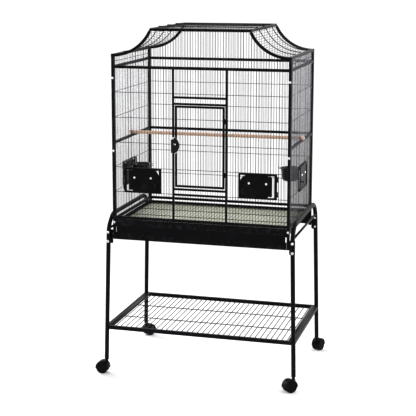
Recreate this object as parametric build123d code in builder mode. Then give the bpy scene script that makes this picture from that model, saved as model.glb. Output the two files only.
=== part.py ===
"""Flight cage for small birds on a rolling stand.

Frame: X to the right, Y to the back, Z up, millimetres.  The origin is on the floor, under the
middle of the cage.  Each wall has its own plane whose coordinates are u (along the wall, to the
right as seen from outside), z (height above the floor) and n (outwards).
"""
from build123d import *
from math import asin, atan2, cos, degrees, hypot, radians, sin, sqrt
import os

os.makedirs("parts", exist_ok=True)

# ---------------------------------------------------------------- driving dimensions
CAGE_WIDTH = 812.8  # between the centrelines of the corner posts, along X
CAGE_DEPTH = 538.4  # the same along Y
POST = 12.7  # square tube of posts and main rails
RAIL = 9.5  # square tube of the doorway and of the door
MID_RAIL = 12.0  # rails that carry the perch, and the bottom rails
WIRE = 1.8
WIRE_PITCH = 12.7
LEVEL_PITCH = 114.2  # height between the rows of cross wire

CASTER_HEIGHT = 70.0  # floor to the bottom of a leg
BASE_BOTTOM = CASTER_HEIGHT + 572.0
BASE_TOP = BASE_BOTTOM + 109.0  # top of the front bottom rail
EAVE = BASE_TOP + 6 * LEVEL_PITCH
POST_TOP = EAVE + 52.0
ROOF_RISE = 116.5
ROOF_HALF = 226.8  # half width of the flat top
ROOF_TOP = POST_TOP + ROOF_RISE

# stand
LEG_R = 10.0
LEG_WALL = 1.2
LEG_TOP_X, LEG_TOP_Y = 430.8, 287.3  # leg centre at the height BASE_BOTTOM
LEG_FOOT_X, LEG_FOOT_Y = 444.5, 296.5  # leg centre at the floor end
ARCH_CENTRE_Z = CASTER_HEIGHT + 683.0
ARCH_BEND_R = 80.0
CROSSBAR_R = 5.5
CROSSBAR_Z = CASTER_HEIGHT + 623.0
SHELF_Z = CASTER_HEIGHT + 153.0
SHELF_RAIL = 17.0
SHELF_PITCH = 25.0
SHELF_WIRE = 4.0
LEG_SCREW_Z = (CASTER_HEIGHT + 564.0, CASTER_HEIGHT + 607.0)

# casters
WHEEL_R = 28.0
WHEEL_WIDTH = 16.0
WEB = 8.0
HOOD_R = 31.0
HOOD_WALL = 2.0
TRAIL = 20.0
STEM_R = 4.0
RUNNING = 0.06  # radial clearance of shafts in their bores
CASTER_TURN = {"front_left": 180.0, "front_right": 227.0, "rear_right": 72.0, "rear_left": 60.0}

# front door and its surround
MULLION_U = 123.0
DOOR_STILE_U = 110.0
DOOR_TOP = CASTER_HEIGHT + 1195.0
DOOR_BOTTOM = CASTER_HEIGHT + 835.0
OPENING_TOP_RAIL = CASTER_HEIGHT + 1207.0
OPENING_BOTTOM_RAIL = CASTER_HEIGHT + 820.0
UPPER_RAIL = CASTER_HEIGHT + 1236.0
LOWER_RAIL = BASE_TOP + LEVEL_PITCH
HINGE_U, HINGE_N = 121.0, 8.5
HINGE_Z = (DOOR_BOTTOM + 60.0, DOOR_TOP - 60.0)
PIN_R = 1.5
KNUCKLE_R = 3.5
KNUCKLE_HALF = 6.0

# latch of the front door
LATCH_Z = CASTER_HEIGHT + 1020.0
LATCH_PIVOT_U = -111.0
LATCH_PIVOT_Z = LATCH_Z + 7.0

# feeder doors
FEEDER_W, FEEDER_H = 174.0, 115.0
FEEDER_BOTTOM = CASTER_HEIGHT + 795.0
FEEDER_MID = FEEDER_BOTTOM + FEEDER_H / 2
FEEDER_BAR = 9.0
BORDER = 6.0
FEEDER_N = 4.5  # back of the feeder door's frame
FEEDER_FRAME_T = 6.0
PLATE_N, PLATE_T = 6.0, 1.5
FRONT_FEEDER_U = 267.0
SIDE_FEEDER_U = 35.5
FEEDER_HINGE_X = FEEDER_W / 2 + 3.5
FEEDER_HINGE_N = FEEDER_N + FEEDER_FRAME_T / 2
FEEDER_KNUCKLE_Z = (FEEDER_MID - 33.5, FEEDER_MID + 33.5)
FEEDER_KNUCKLE_R = 3.0
BOLT_X = 39.0
BOLT_Z = CASTER_HEIGHT + 865.0
CUP_N = -55.0
CUP_R = 42.0
CUP_DEPTH = 62.0
CUP_RIM_Z = CASTER_HEIGHT + 890.0
RING_R, RING_WIRE_R = 45.0, 1.5
CLIP_X = 64.0
CLIP_Z = CASTER_HEIGHT + 838.0

# base drawer
GRATE_Z = CASTER_HEIGHT + 651.0
GRATE_PITCH = 18.3
GRATE_RODS = (-204.0, -68.0, 68.0, 204.0)
TRAY_Z = CASTER_HEIGHT + 632.0
SHEET = 1.2

# perch
PERCH_R = 8.0
PERCH_HALF = 422.0

HALF_W, HALF_D, HALF_P = CAGE_WIDTH / 2, CAGE_DEPTH / 2, POST / 2
BOTTOM_RAIL_Z = CASTER_HEIGHT + 666.0
MID_RAIL_Z = CASTER_HEIGHT + 1020.6
PERCH_Z = MID_RAIL_Z + MID_RAIL / 2 + PERCH_R
LEVELS = [BASE_TOP + k * LEVEL_PITCH for k in range(1, 6)]

FRONT = Plane(origin=(0, -HALF_D, 0), x_dir=(1, 0, 0), z_dir=(0, -1, 0))
REAR = Plane(origin=(0, HALF_D, 0), x_dir=(-1, 0, 0), z_dir=(0, 1, 0))
RIGHT = Plane(origin=(HALF_W, 0, 0), x_dir=(0, 1, 0), z_dir=(1, 0, 0))
LEFT = Plane(origin=(-HALF_W, 0, 0), x_dir=(0, -1, 0), z_dir=(-1, 0, 0))


# ---------------------------------------------------------------- helpers
def save(name, part):
    """Label a finished piece and write its STEP file."""
    part.label = name
    export_step(part, f"parts/{name}.step")


def block(u0, u1, z0, z1, n0, n1, mode=Mode.ADD):
    """A box between two corners, in the plane of the part being built."""
    with Locations(((u0 + u1) / 2, (z0 + z1) / 2, (n0 + n1) / 2)):
        Box(abs(u1 - u0), abs(z1 - z0), abs(n1 - n0), mode=mode)


def upright(u, z0, z1, n, radius, mode=Mode.ADD):
    """A vertical cylinder in a wall's plane."""
    with Locations((u, (z0 + z1) / 2, n)):
        Cylinder(radius, z1 - z0, rotation=(90, 0, 0), mode=mode)


def stub(u, z, n0, n1, radius, mode=Mode.ADD):
    """A cylinder square to the wall."""
    with Locations((u, z, (n0 + n1) / 2)):
        Cylinder(radius, n1 - n0, mode=mode)


def gap_count(length, pitch, odd=False):
    """How many equal gaps near the pitch fill a length."""
    count = round(length / pitch)
    if odd and count % 2 == 0:
        count += 1
    return count


def wire_field(u0, u1, z0, z1, levels, pitch=WIRE_PITCH, odd=False):
    """Upright wires and cross wires that fill a bay, as a sketch; edges reach into the tubes."""
    bite = 1.0
    count = gap_count(u1 - u0, pitch, odd)
    gap = (u1 - u0) / count
    rows = [z0 - bite] + [z for z in levels if z0 < z < z1] + [z1 + bite]
    with Locations(((u0 + u1) / 2, (z0 + z1) / 2)):
        Rectangle(u1 - u0 - 2 * gap + WIRE, z1 - z0 + 2 * bite)
    for z in levels:
        if z0 < z < z1:
            with Locations(((u0 + u1) / 2, z)):
                Rectangle(u1 - u0 + 2 * bite, WIRE)
    for number, (low, high) in enumerate(zip(rows, rows[1:])):
        bottom = low if number == 0 else low + WIRE / 2
        top = high if number == len(rows) - 2 else high - WIRE / 2
        centres = [(u0 + gap * (k + 0.5), (bottom + top) / 2) for k in range(1, count - 1)]
        with Locations(*centres):
            Rectangle(gap - WIRE, top - bottom, mode=Mode.SUBTRACT)


def feeder_border(centre):
    """The frame of heavier wire round a feeder opening."""
    block(centre - FEEDER_W / 2, centre + FEEDER_W / 2,
          FEEDER_BOTTOM, FEEDER_BOTTOM + FEEDER_H, -BORDER / 2, BORDER / 2)
    block(centre - FEEDER_W / 2 + BORDER, centre + FEEDER_W / 2 - BORDER,
          FEEDER_BOTTOM + BORDER, FEEDER_BOTTOM + FEEDER_H - BORDER, -BORDER, BORDER, Mode.SUBTRACT)


def feeder_cutout(centre):
    """Wires of a sketch end inside the border of the feeder opening."""
    with Locations((centre, FEEDER_MID)):
        Rectangle(FEEDER_W - 2 * BORDER + 2, FEEDER_H - 2 * BORDER + 2, mode=Mode.SUBTRACT)


def feeder_lugs(centre, hand):
    """Eyes and welded pins on the wall that the feeder door's knuckles turn on."""
    pin_u = centre + hand * FEEDER_HINGE_X
    for z in FEEDER_KNUCKLE_Z:
        for low, high in ((z - 10.2, z - 6.2), (z + 6.2, z + 10.2)):
            block(pin_u - hand * 2.9, pin_u + hand * 2.9, low, high, BORDER / 2 - 0.5, FEEDER_HINGE_N)
            block(pin_u - hand * 5.5, pin_u + hand * 2.9, low, high, -BORDER / 2, BORDER / 2)
            upright(pin_u, low, high, FEEDER_HINGE_N, 2.9)
        upright(pin_u, z - 10.2, z + 10.2, FEEDER_HINGE_N, PIN_R)


def post_holes(signs=(-1, 1)):
    """Threaded holes for the panel bolts in the two posts of a front or rear panel."""
    for side in signs:
        for z in BOLT_LEVELS:
            stub(side * HALF_W, z, -HALF_P, HALF_P + 1, 2.6, Mode.SUBTRACT)


BOLT_LEVELS = (CASTER_HEIGHT + 652.0, CASTER_HEIGHT + 984.0, CASTER_HEIGHT + 1316.0)


# ---------------------------------------------------------------- walls
def posts_and_eave():
    """The two corner posts and the eave rail that front and rear panels share."""
    for side in (-1, 1):
        block(side * HALF_W - HALF_P, side * HALF_W + HALF_P,
              BASE_BOTTOM, POST_TOP - HALF_P, -HALF_P, HALF_P)
    block(-HALF_W, HALF_W, EAVE - HALF_P, EAVE + HALF_P, -HALF_P, HALF_P)


def front_panel():
    inner = HALF_W - HALF_P
    jamb = MULLION_U + RAIL / 2
    with BuildPart(FRONT) as panel:
        posts_and_eave()
        block(-HALF_W, HALF_W, BASE_TOP - POST, BASE_TOP, -HALF_P, HALF_P)
        for side in (-1, 1):
            block(side * MULLION_U - RAIL / 2, side * MULLION_U + RAIL / 2,
                  BASE_TOP - 1, EAVE, -RAIL / 2, RAIL / 2)
        for z in (LOWER_RAIL, OPENING_BOTTOM_RAIL, OPENING_TOP_RAIL, UPPER_RAIL):
            block(-MULLION_U, MULLION_U, z - RAIL / 2, z + RAIL / 2, -RAIL / 2, RAIL / 2)
        for hand in (-1, 1):
            feeder_border(hand * FRONT_FEEDER_U)
            feeder_lugs(hand * FRONT_FEEDER_U, hand)
        for z in HINGE_Z:
            for low, high in ((z - 12.2, z - KNUCKLE_HALF - 0.2), (z + KNUCKLE_HALF + 0.2, z + 12.2)):
                block(HINGE_U - 2.5, HINGE_U + 3.5, low, high, RAIL / 2 - 1, HINGE_N)
                upright(HINGE_U, low, high, HINGE_N, KNUCKLE_R)
            upright(HINGE_U, z - 13, z + 13, HINGE_N, PIN_R + 0.05, Mode.SUBTRACT)
        post_holes()
        with BuildSketch(FRONT):
            wire_field(-inner, -jamb, BASE_TOP, EAVE - HALF_P, LEVELS)
            wire_field(jamb, inner, BASE_TOP, EAVE - HALF_P, LEVELS)
            wire_field(-jamb + RAIL, jamb - RAIL, BASE_TOP, LOWER_RAIL - RAIL / 2, ())
            wire_field(-jamb + RAIL, jamb - RAIL, UPPER_RAIL + RAIL / 2, EAVE - HALF_P, LEVELS)
            for hand in (-1, 1):
                feeder_cutout(hand * FRONT_FEEDER_U)
        extrude(amount=WIRE / 2, both=True)
    save("front_panel", panel.part)


def rear_panel():
    inner = HALF_W - HALF_P
    low = BOTTOM_RAIL_Z + MID_RAIL / 2
    with BuildPart(REAR) as panel:
        posts_and_eave()
        for z in (BOTTOM_RAIL_Z, MID_RAIL_Z):
            block(-HALF_W, HALF_W, z - MID_RAIL / 2, z + MID_RAIL / 2, -MID_RAIL / 2, MID_RAIL / 2)
        post_holes()
        with BuildSketch(REAR):
            wire_field(-inner, inner, low, EAVE - HALF_P, LEVELS[:2] + LEVELS[3:])
        extrude(amount=WIRE / 2, both=True)
    save("rear_panel", panel.part)


def side_panel(name, plane):
    half = HALF_D - HALF_P
    inner = half - RAIL
    low = BOTTOM_RAIL_Z + MID_RAIL / 2
    with BuildPart(plane) as panel:
        for side in (-1, 1):
            block(side * inner, side * half, BOTTOM_RAIL_Z - MID_RAIL / 2, POST_TOP, -HALF_P, HALF_P)
        for z in (BOTTOM_RAIL_Z, MID_RAIL_Z):
            block(-half, half, z - MID_RAIL / 2, z + MID_RAIL / 2, -MID_RAIL / 2, MID_RAIL / 2)
        block(-half, half, EAVE - HALF_P, EAVE + HALF_P, -HALF_P, HALF_P)
        block(-half, half, POST_TOP - HALF_P, POST_TOP + HALF_P, -HALF_P, HALF_P)
        feeder_border(SIDE_FEEDER_U)
        feeder_lugs(SIDE_FEEDER_U, 1)
        with BuildSketch(plane):
            wire_field(-inner, inner, low, EAVE - HALF_P, LEVELS[:2] + LEVELS[3:], odd=True)
            wire_field(-inner, inner, EAVE + HALF_P, POST_TOP - HALF_P, (EAVE + 24.0,), odd=True)
            feeder_cutout(SIDE_FEEDER_U)
        extrude(amount=WIRE / 2, both=True)
    save(name, panel.part)


# ---------------------------------------------------------------- roof
ARC_CENTRE_Z = POST_TOP + ((HALF_W - ROOF_HALF) ** 2 + ROOF_RISE**2) / (2 * ROOF_RISE)
ARC_R = ARC_CENTRE_Z - POST_TOP
ARC_SWEEP = degrees(asin((HALF_W - ROOF_HALF) / ARC_R))


def curve_z(u, radius):
    """Height of the roof curve of a given radius at the distance u from the middle."""
    return ARC_CENTRE_Z - sqrt(radius**2 - (HALF_W - abs(u)) ** 2)


def roof_curve(side, inner_r, outer_r):
    """One curved stretch of the roof's end frame, as a band in the wall's plane."""
    def at(radius, angle):
        return (side * (HALF_W - radius * sin(radians(angle))),
                ARC_CENTRE_Z - radius * cos(radians(angle)))

    with BuildLine() as band:
        Line(at(inner_r, 0), at(outer_r, 0))
        ThreePointArc(at(outer_r, 0), at(outer_r, ARC_SWEEP / 2), at(outer_r, ARC_SWEEP))
        Line(at(outer_r, ARC_SWEEP), at(inner_r, ARC_SWEEP))
        ThreePointArc(at(inner_r, ARC_SWEEP), at(inner_r, ARC_SWEEP / 2), at(inner_r, 0))
    make_face(band.edges())


def gable(name, plane):
    with BuildPart(plane) as end:
        with BuildSketch(plane):
            for side in (-1, 1):
                roof_curve(side, ARC_R - HALF_P, ARC_R + HALF_P)
                with Locations((side * (HALF_W + HALF_P / 2), POST_TOP)):
                    Rectangle(HALF_P, POST)
            with Locations((0, ROOF_TOP)):
                Rectangle(2 * ROOF_HALF + 6, POST)
        extrude(amount=HALF_P, both=True)
        with BuildSketch(plane):
            floor, inner = EAVE + HALF_P, HALF_W - HALF_P
            start = curve_z(inner, ARC_R)
            count = gap_count(2 * inner, WIRE_PITCH)
            with Locations(*[(-inner + 2 * inner * k / count, floor) for k in range(1, count)]):
                Rectangle(WIRE, ROOF_TOP - floor, align=(Align.CENTER, Align.MIN))
            with BuildLine():
                Polyline((-inner, floor), (inner, floor), (inner, start))
                ThreePointArc((inner, start), (300, curve_z(300, ARC_R)), (ROOF_HALF, ROOF_TOP))
                Line((ROOF_HALF, ROOF_TOP), (-ROOF_HALF, ROOF_TOP))
                ThreePointArc((-ROOF_HALF, ROOF_TOP), (-300, curve_z(300, ARC_R)), (-inner, start))
                Line((-inner, start), (-inner, floor))
            make_face(mode=Mode.INTERSECT)
        extrude(amount=WIRE / 2, both=True)
    save(name, end.part)


ROOF_RODS = (-CAGE_DEPTH / 4, 0.0, CAGE_DEPTH / 4)
ROD = 4.0


def roof_top():
    half = HALF_D - HALF_P
    with BuildPart() as top:
        for side in (-1, 1):
            with Locations((side * ROOF_HALF, 0, ROOF_TOP)):
                Box(POST, 2 * half, POST)
        inner = ROOF_HALF - HALF_P
        count = gap_count(2 * inner, WIRE_PITCH)
        bars = [(-inner + 2 * inner * k / count, 0, ROOF_TOP + HALF_P - WIRE / 2) for k in range(1, count)]
        with Locations(*bars):
            Box(WIRE, 2 * half, WIRE)
        with Locations(*[(0, y, ROOF_TOP + HALF_P + ROD / 2 - 0.4) for y in ROOF_RODS]):
            Box(2 * ROOF_HALF + POST - 1, ROD, ROD)
    save("roof_top", top.part)


def roof_side(name, side):
    """Long bars that lie along the curve, with the bent rods over them."""
    half = HALF_D - HALF_P
    bar_r = ARC_R - HALF_P + WIRE / 2
    end_angle = degrees(asin((HALF_W - ROOF_HALF - HALF_P - 1) / (bar_r - WIRE / 2)))
    count = gap_count(ARC_R * radians(ARC_SWEEP), WIRE_PITCH)

    def at(radius, angle):
        return (side * (HALF_W - radius * sin(radians(angle))),
                ARC_CENTRE_Z - radius * cos(radians(angle)))

    first_angle = degrees(asin((HALF_P - 1) / bar_r))
    rod_out, rod_in = bar_r - WIRE / 2 + 0.4, bar_r - WIRE / 2 + 0.4 - ROD
    with BuildPart() as curve:
        for k in range(1, count):
            angle = ARC_SWEEP * k / count
            x, z = at(bar_r, angle)
            with Locations(Location((x, 0, z), (0, side * angle, 0))):
                Box(WIRE, 2 * half, WIRE)
        for y in ROOF_RODS:
            with BuildSketch(Plane(origin=(0, y, 0), x_dir=(1, 0, 0), z_dir=(0, -1, 0))):
                with BuildLine():
                    Line(at(rod_in, first_angle), at(rod_out, first_angle))
                    ThreePointArc(at(rod_out, first_angle), at(rod_out, 30), at(rod_out, end_angle))
                    Line(at(rod_out, end_angle), at(rod_in, end_angle))
                    ThreePointArc(at(rod_in, end_angle), at(rod_in, 30), at(rod_in, first_angle))
                make_face()
            extrude(amount=ROD / 2, both=True)
    save(name, curve.part)


# ---------------------------------------------------------------- front door and latch
def main_door():
    inner = DOOR_STILE_U - RAIL / 2
    with BuildPart(FRONT) as door:
        for side in (-1, 1):
            block(side * DOOR_STILE_U - RAIL / 2, side * DOOR_STILE_U + RAIL / 2,
                  DOOR_BOTTOM - RAIL / 2, DOOR_TOP + RAIL / 2, -RAIL / 2, RAIL / 2)
        for z in (DOOR_BOTTOM, DOOR_TOP):
            block(-DOOR_STILE_U, DOOR_STILE_U, z - RAIL / 2, z + RAIL / 2, -RAIL / 2, RAIL / 2)
        for z in HINGE_Z:
            low, high = z - KNUCKLE_HALF, z + KNUCKLE_HALF
            block(106, HINGE_U, low, high, RAIL / 2 + 0.6, HINGE_N)
            block(106, 114, low, high, RAIL / 2 - 0.5, RAIL / 2 + 0.8)
            upright(HINGE_U, low, high, HINGE_N, KNUCKLE_R)
            upright(HINGE_U, low - 1, high + 1, HINGE_N, PIN_R + 0.05, Mode.SUBTRACT)
        for z in (LATCH_Z - 25, LATCH_Z + 25):
            stub(-DOOR_STILE_U, z, -RAIL / 2 - 1, RAIL / 2 + 1, 1.6, Mode.SUBTRACT)
        with BuildSketch(FRONT):
            wire_field(-inner, inner, DOOR_BOTTOM + RAIL / 2, DOOR_TOP - RAIL / 2, LEVELS)
        extrude(amount=WIRE / 2, both=True)
    save("main_door", door.part)


def door_hinge_pins():
    with BuildPart(FRONT) as pins:
        for z in HINGE_Z:
            upright(HINGE_U, z - 13.5, z + 13.5, HINGE_N, PIN_R)
            for low in (z - 14.5, z + 12.5):
                upright(HINGE_U, low, low + 2, HINGE_N, 2.6)
    save("door_hinge_pins", pins.part)


def latch():
    back = RAIL / 2 + 0.45
    plate_n, body_n, lever_n = back + 1.8, back + 9.0, back + 17.0
    with BuildPart(FRONT) as plate:
        block(-134, -107, LATCH_Z - 37, LATCH_Z + 37, back, plate_n)
        block(-114.5, -105.5, LATCH_Z - 34, LATCH_Z + 34, RAIL / 2, back + 0.3)
        stub(-122, LATCH_Z + 32, back - 1, plate_n + 1, 2.2, Mode.SUBTRACT)
        stub(LATCH_PIVOT_U, LATCH_PIVOT_Z, RAIL / 2 - 1, plate_n + 1, 2.5 - RUNNING, Mode.SUBTRACT)
    save("latch_plate", plate.part)
    with BuildPart(FRONT) as body:
        with BuildSketch(FRONT.offset(plate_n)):
            with BuildLine():
                Polyline((-118, LATCH_Z - 36), (-132, LATCH_Z - 30), (-132, LATCH_Z + 26),
                         (-114, LATCH_Z + 27), (-112, LATCH_Z + 36))
                ThreePointArc((-112, LATCH_Z + 36), (-92, LATCH_Z), (-118, LATCH_Z - 36))
            make_face()
        extrude(amount=body_n - plate_n)
        fillet(body.faces().filter_by(lambda f: abs(f.center().Y + HALF_D + body_n) < 0.01).edges(), 1.6)
        stub(LATCH_PIVOT_U, LATCH_PIVOT_Z, plate_n - 1, body_n + 1, 2.5, Mode.SUBTRACT)
    save("latch_body", body.part)
    with BuildPart(FRONT) as lever:
        stub(LATCH_PIVOT_U, LATCH_PIVOT_Z, body_n + 0.3, lever_n - 3, 8.0)
        block(LATCH_PIVOT_U - 4.5, LATCH_PIVOT_U + 4.5, LATCH_PIVOT_Z - 40, LATCH_PIVOT_Z,
              body_n + 0.3, lever_n - 3)
        fillet(lever.faces().sort_by(Axis.Z)[0].edges().filter_by(Axis.Y), 2.0)
        block(LATCH_PIVOT_U - 2.5, LATCH_PIVOT_U + 2.5, LATCH_PIVOT_Z - 39, LATCH_PIVOT_Z - 9,
              lever_n - 3.5, lever_n)
        stub(LATCH_PIVOT_U, LATCH_PIVOT_Z, body_n, lever_n, 2.5, Mode.SUBTRACT)
    save("latch_lever", lever.part)
    with BuildPart(FRONT) as screw:
        stub(LATCH_PIVOT_U, LATCH_PIVOT_Z, back, lever_n - 3 + 0.3, 2.5 - RUNNING)
        stub(LATCH_PIVOT_U, LATCH_PIVOT_Z, lever_n - 2.7, lever_n - 0.5, 5.0)
        fillet(screw.faces().sort_by(Axis.Y)[0].edges(), 1.2)
        block(LATCH_PIVOT_U - 3.6, LATCH_PIVOT_U + 3.6, LATCH_PIVOT_Z - 0.5, LATCH_PIVOT_Z + 0.5,
              lever_n - 1.2, lever_n, Mode.SUBTRACT)
    save("latch_screw", screw.part)


# ---------------------------------------------------------------- feeder doors with cups
def feeder(name, plane, centre, hand):
    """A feeder door hinged on the side that hand points to, with its ring, cup, bolts and clip."""
    half = FEEDER_W / 2
    top = FEEDER_BOTTOM + FEEDER_H
    frame_n = FEEDER_N + FEEDER_FRAME_T
    plate_out = PLATE_N + PLATE_T
    free_in = -hand * (half - FEEDER_BAR)
    hinge_in = hand * (half - FEEDER_BAR)
    corner = 38.0
    with BuildPart(plane) as door:
        block(centre - half, centre + half, FEEDER_BOTTOM, top, FEEDER_N, frame_n)
        block(centre - half + FEEDER_BAR, centre + half - FEEDER_BAR,
              FEEDER_BOTTOM + FEEDER_BAR, top - FEEDER_BAR, 0, POST, Mode.SUBTRACT)
        with BuildSketch(plane.offset(PLATE_N)):
            low, high = FEEDER_BOTTOM + FEEDER_BAR - 0.5, top - FEEDER_BAR + 0.5
            slit = centre + hinge_in - hand * 7.5
            free = centre + free_in - hand * 0.5
            knee = free + hand * corner
            with BuildLine():
                Polyline((knee, high), (slit, high), (slit, low), (free, low), (free, high - corner))
                RadiusArc((free, high - corner), (knee, high), -hand * corner)
            make_face()
        extrude(amount=PLATE_T)
        for x in (-BOLT_X, BOLT_X):
            stub(centre + x, BOLT_Z, 0, POST, 2.1, Mode.SUBTRACT)
        stub(centre - hand * CLIP_X, CLIP_Z, 0, POST, 2.56, Mode.SUBTRACT)
        pin_u = centre + hand * FEEDER_HINGE_X
        for z in FEEDER_KNUCKLE_Z:
            block(pin_u - hand * 5, pin_u, z - 6, z + 6, FEEDER_HINGE_N - 1, FEEDER_HINGE_N + 1)
            upright(pin_u, z - 6, z + 6, FEEDER_HINGE_N, FEEDER_KNUCKLE_R)
            upright(pin_u, z - 7, z + 7, FEEDER_HINGE_N, PIN_R + 0.05, Mode.SUBTRACT)
    save(f"{name}_door", door.part)

    strap_n = PLATE_N - 1.5
    ring_z = CUP_RIM_Z - 2.0 - RING_WIRE_R - 0.3
    reach = CUP_N + sqrt(RING_R**2 - BOLT_X**2)
    with BuildPart(plane) as holder:
        block(centre - BOLT_X - 7, centre + BOLT_X + 7, BOLT_Z - 8, CUP_RIM_Z + 1, strap_n, PLATE_N)
        for x in (-BOLT_X, BOLT_X):
            stub(centre + x, BOLT_Z, 0, POST, 2.1, Mode.SUBTRACT)
            stub(centre + x, ring_z, reach, strap_n + 0.5, 1.3)
        with Locations(Location((centre, ring_z, CUP_N), (90, 0, 0))):
            Torus(RING_R, RING_WIRE_R)
        with Locations(Location((centre, ring_z, CUP_N - RING_R - 7.2), (0, 90, 0))):
            Torus(5.0, 1.2)
    save(f"{name}_cup_ring", holder.part)

    axis_plane = Plane(origin=plane.from_local_coords((centre, 0, CUP_N)), x_dir=plane.x_dir,
                       z_dir=plane.z_dir)
    rim, floor, wall, foot_r, bend = CUP_RIM_Z, CUP_RIM_Z - CUP_DEPTH, 2.0, 38.0, 16.0
    with BuildPart() as cup:
        with BuildSketch(axis_plane):
            with BuildLine():
                Polyline((0, floor), (foot_r - bend, floor))
                TangentArc((foot_r - bend, floor), (foot_r, floor + bend), tangent=(1, 0))
                Polyline((foot_r, floor + bend), (CUP_R, rim - 2), (CUP_R + 4, rim - 2), (CUP_R + 4, rim),
                         (CUP_R - wall, rim), (foot_r - wall, floor + bend))
                TangentArc((foot_r - wall, floor + bend), (foot_r - bend, floor + wall), tangent=(0, -1))
                Polyline((foot_r - bend, floor + wall), (0, floor + wall), (0, floor))
            make_face()
        revolve(axis=Axis(plane.from_local_coords((centre, 0, CUP_N)), (0, 0, 1)))
    save(f"{name}_cup", cup.part)

    with BuildPart(plane) as bolts:
        for x in (-BOLT_X, BOLT_X):
            stub(centre + x, BOLT_Z, strap_n - 4.5, plate_out, 2.0)
            stub(centre + x, BOLT_Z, plate_out, plate_out + 3.2, 5.5)
            with BuildSketch(plane.offset(strap_n - 3.2)):
                with Locations((centre + x, BOLT_Z)):
                    RegularPolygon(4.0, 6)
            extrude(amount=3.2)
        heads = bolts.edges().filter_by(GeomType.CIRCLE).filter_by(lambda e: abs(e.radius - 5.5) < 0.01)
        fillet([e for e in heads if outward(plane, e) > plate_out + 3], 2.6)
    save(f"{name}_bolts", bolts.part)

    clip_u = centre - hand * CLIP_X
    with BuildPart(plane) as clip:
        stub(clip_u, CLIP_Z, PLATE_N - 2, plate_out + 14, 2.5)
        stub(clip_u, CLIP_Z, plate_out + 0.3, plate_out + 4, 6.0)
        block(clip_u - 2.2, clip_u + 2.2, CLIP_Z - 15, CLIP_Z, plate_out + 9, plate_out + 12)
        stub(clip_u, CLIP_Z, plate_out + 11.5, plate_out + 16, 4.2)
    save(f"{name}_clip", clip.part)


def outward(plane, edge):
    """How far an edge's centre lies out of the plane of a wall."""
    return plane.to_local_coords(edge.center()).Z


# ---------------------------------------------------------------- base with grate and tray
def rear_apron():
    with BuildPart(REAR) as apron:
        inner = HALF_W - HALF_P
        bottom, top = BASE_BOTTOM + 8, GRATE_Z - 5
        block(-inner, inner, bottom, top, HALF_P - SHEET, HALF_P)
        block(-inner, inner, bottom, bottom + SHEET, HALF_P - 9, HALF_P)
        block(-inner + 1.7, inner - 1.7, top - SHEET, top, HALF_P - 9, HALF_P)
    save("rear_apron", apron.part)


def runners():
    """Angle runners on both sides; the upper ledge carries the grate and the lower one the tray."""
    for name, side in (("left_runner", -1), ("right_runner", 1)):
        face = HALF_W - HALF_P
        foot, head = GRATE_Z - 23.5, BOTTOM_RAIL_Z - MID_RAIL / 2 - 0.3
        with BuildPart() as runner:
            with BuildSketch(Plane.XZ.offset(-HALF_D - HALF_P + 2.7)):
                with Locations((side * (face - 0.75), (foot + head) / 2)):
                    Rectangle(1.5, head - foot)
                for z in (GRATE_Z - 3.45, TRAY_Z - 0.95):
                    with Locations((side * (face - 5), z)):
                        Rectangle(10, 1.5)
            extrude(amount=CAGE_DEPTH + POST - 5.4)
        save(name, runner.part)


def grate():
    half_x, back, front = HALF_W - HALF_P - 3.0, HALF_D - HALF_P - 2.0, -HALF_D - HALF_P + SHEET
    bar = 5.0
    with BuildPart() as grid:
        with BuildSketch(Plane.XY.offset(GRATE_Z - bar / 2)):
            with Locations((0, (back + front) / 2)):
                Rectangle(2 * half_x, back - front)
                Rectangle(2 * (half_x - bar), back - front - 2 * bar, mode=Mode.SUBTRACT)
        extrude(amount=bar)
        with BuildSketch(Plane.XY.offset(GRATE_Z - WIRE / 2)):
            rows = [front + bar - 1, *GRATE_RODS, back - bar + 1]
            count = round(2 * (half_x - bar) / GRATE_PITCH)
            gap = 2 * (half_x - bar) / count
            with Locations((0, (back + front) / 2)):
                Rectangle(2 * (half_x - bar) + 1, back - front - 2 * bar + 2)
            for low, high in zip(rows, rows[1:]):
                with Locations(*[(-half_x + bar + gap * (k + 0.5), (low + high) / 2) for k in range(count)]):
                    Rectangle(gap - WIRE, high - low - WIRE, mode=Mode.SUBTRACT)
        extrude(amount=WIRE)
        face = HALF_W - HALF_P - 0.3
        with Locations((0, -HALF_D - HALF_P + SHEET / 2, (GRATE_Z - 9.5 + BASE_TOP - POST - 1.0) / 2)):
            Box(2 * face, SHEET, BASE_TOP - POST - 1.0 - (GRATE_Z - 9.5))
    save("grate", grid.part)


def tray():
    """The pressed tray as a floor and four walls, so that its shallow hollow stays open."""
    half_x, back = HALF_W - HALF_P - 2.5, HALF_D - HALF_P - 2.0
    front = -HALF_D - HALF_P + SHEET
    depth, seam = 8.0, 0.05
    in_x, in_y = half_x - SHEET - seam, (back - front) / 2 - SHEET - seam
    with BuildPart() as pan:
        with Locations((0, (back + front) / 2, TRAY_Z + SHEET / 2)):
            Box(2 * in_x, 2 * in_y, SHEET)
        for side in (-1, 1):
            with Locations((side * (half_x - SHEET / 2), (back + front) / 2, TRAY_Z + depth / 2)):
                Box(SHEET, back - front, depth)
        for y in (front + SHEET / 2, back - SHEET / 2):
            with Locations((0, y, TRAY_Z + depth / 2)):
                Box(2 * in_x, SHEET, depth)
    save("tray", pan.part)
    face = HALF_W - HALF_P - 0.3
    low, high = BASE_BOTTOM, GRATE_Z - 10.5
    with BuildPart(FRONT) as plate:
        block(-face, face, low, high, HALF_P - SHEET, HALF_P)
        block(-face, face, low, low + SHEET, HALF_P - 10, HALF_P)
        for side in (-1, 1):
            block(side * (face - 4.6), side * face, BASE_BOTTOM + 35, BASE_BOTTOM + 58,
                  HALF_P - 3, HALF_P + 1, Mode.SUBTRACT)
    save("tray_front", plate.part)


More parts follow.
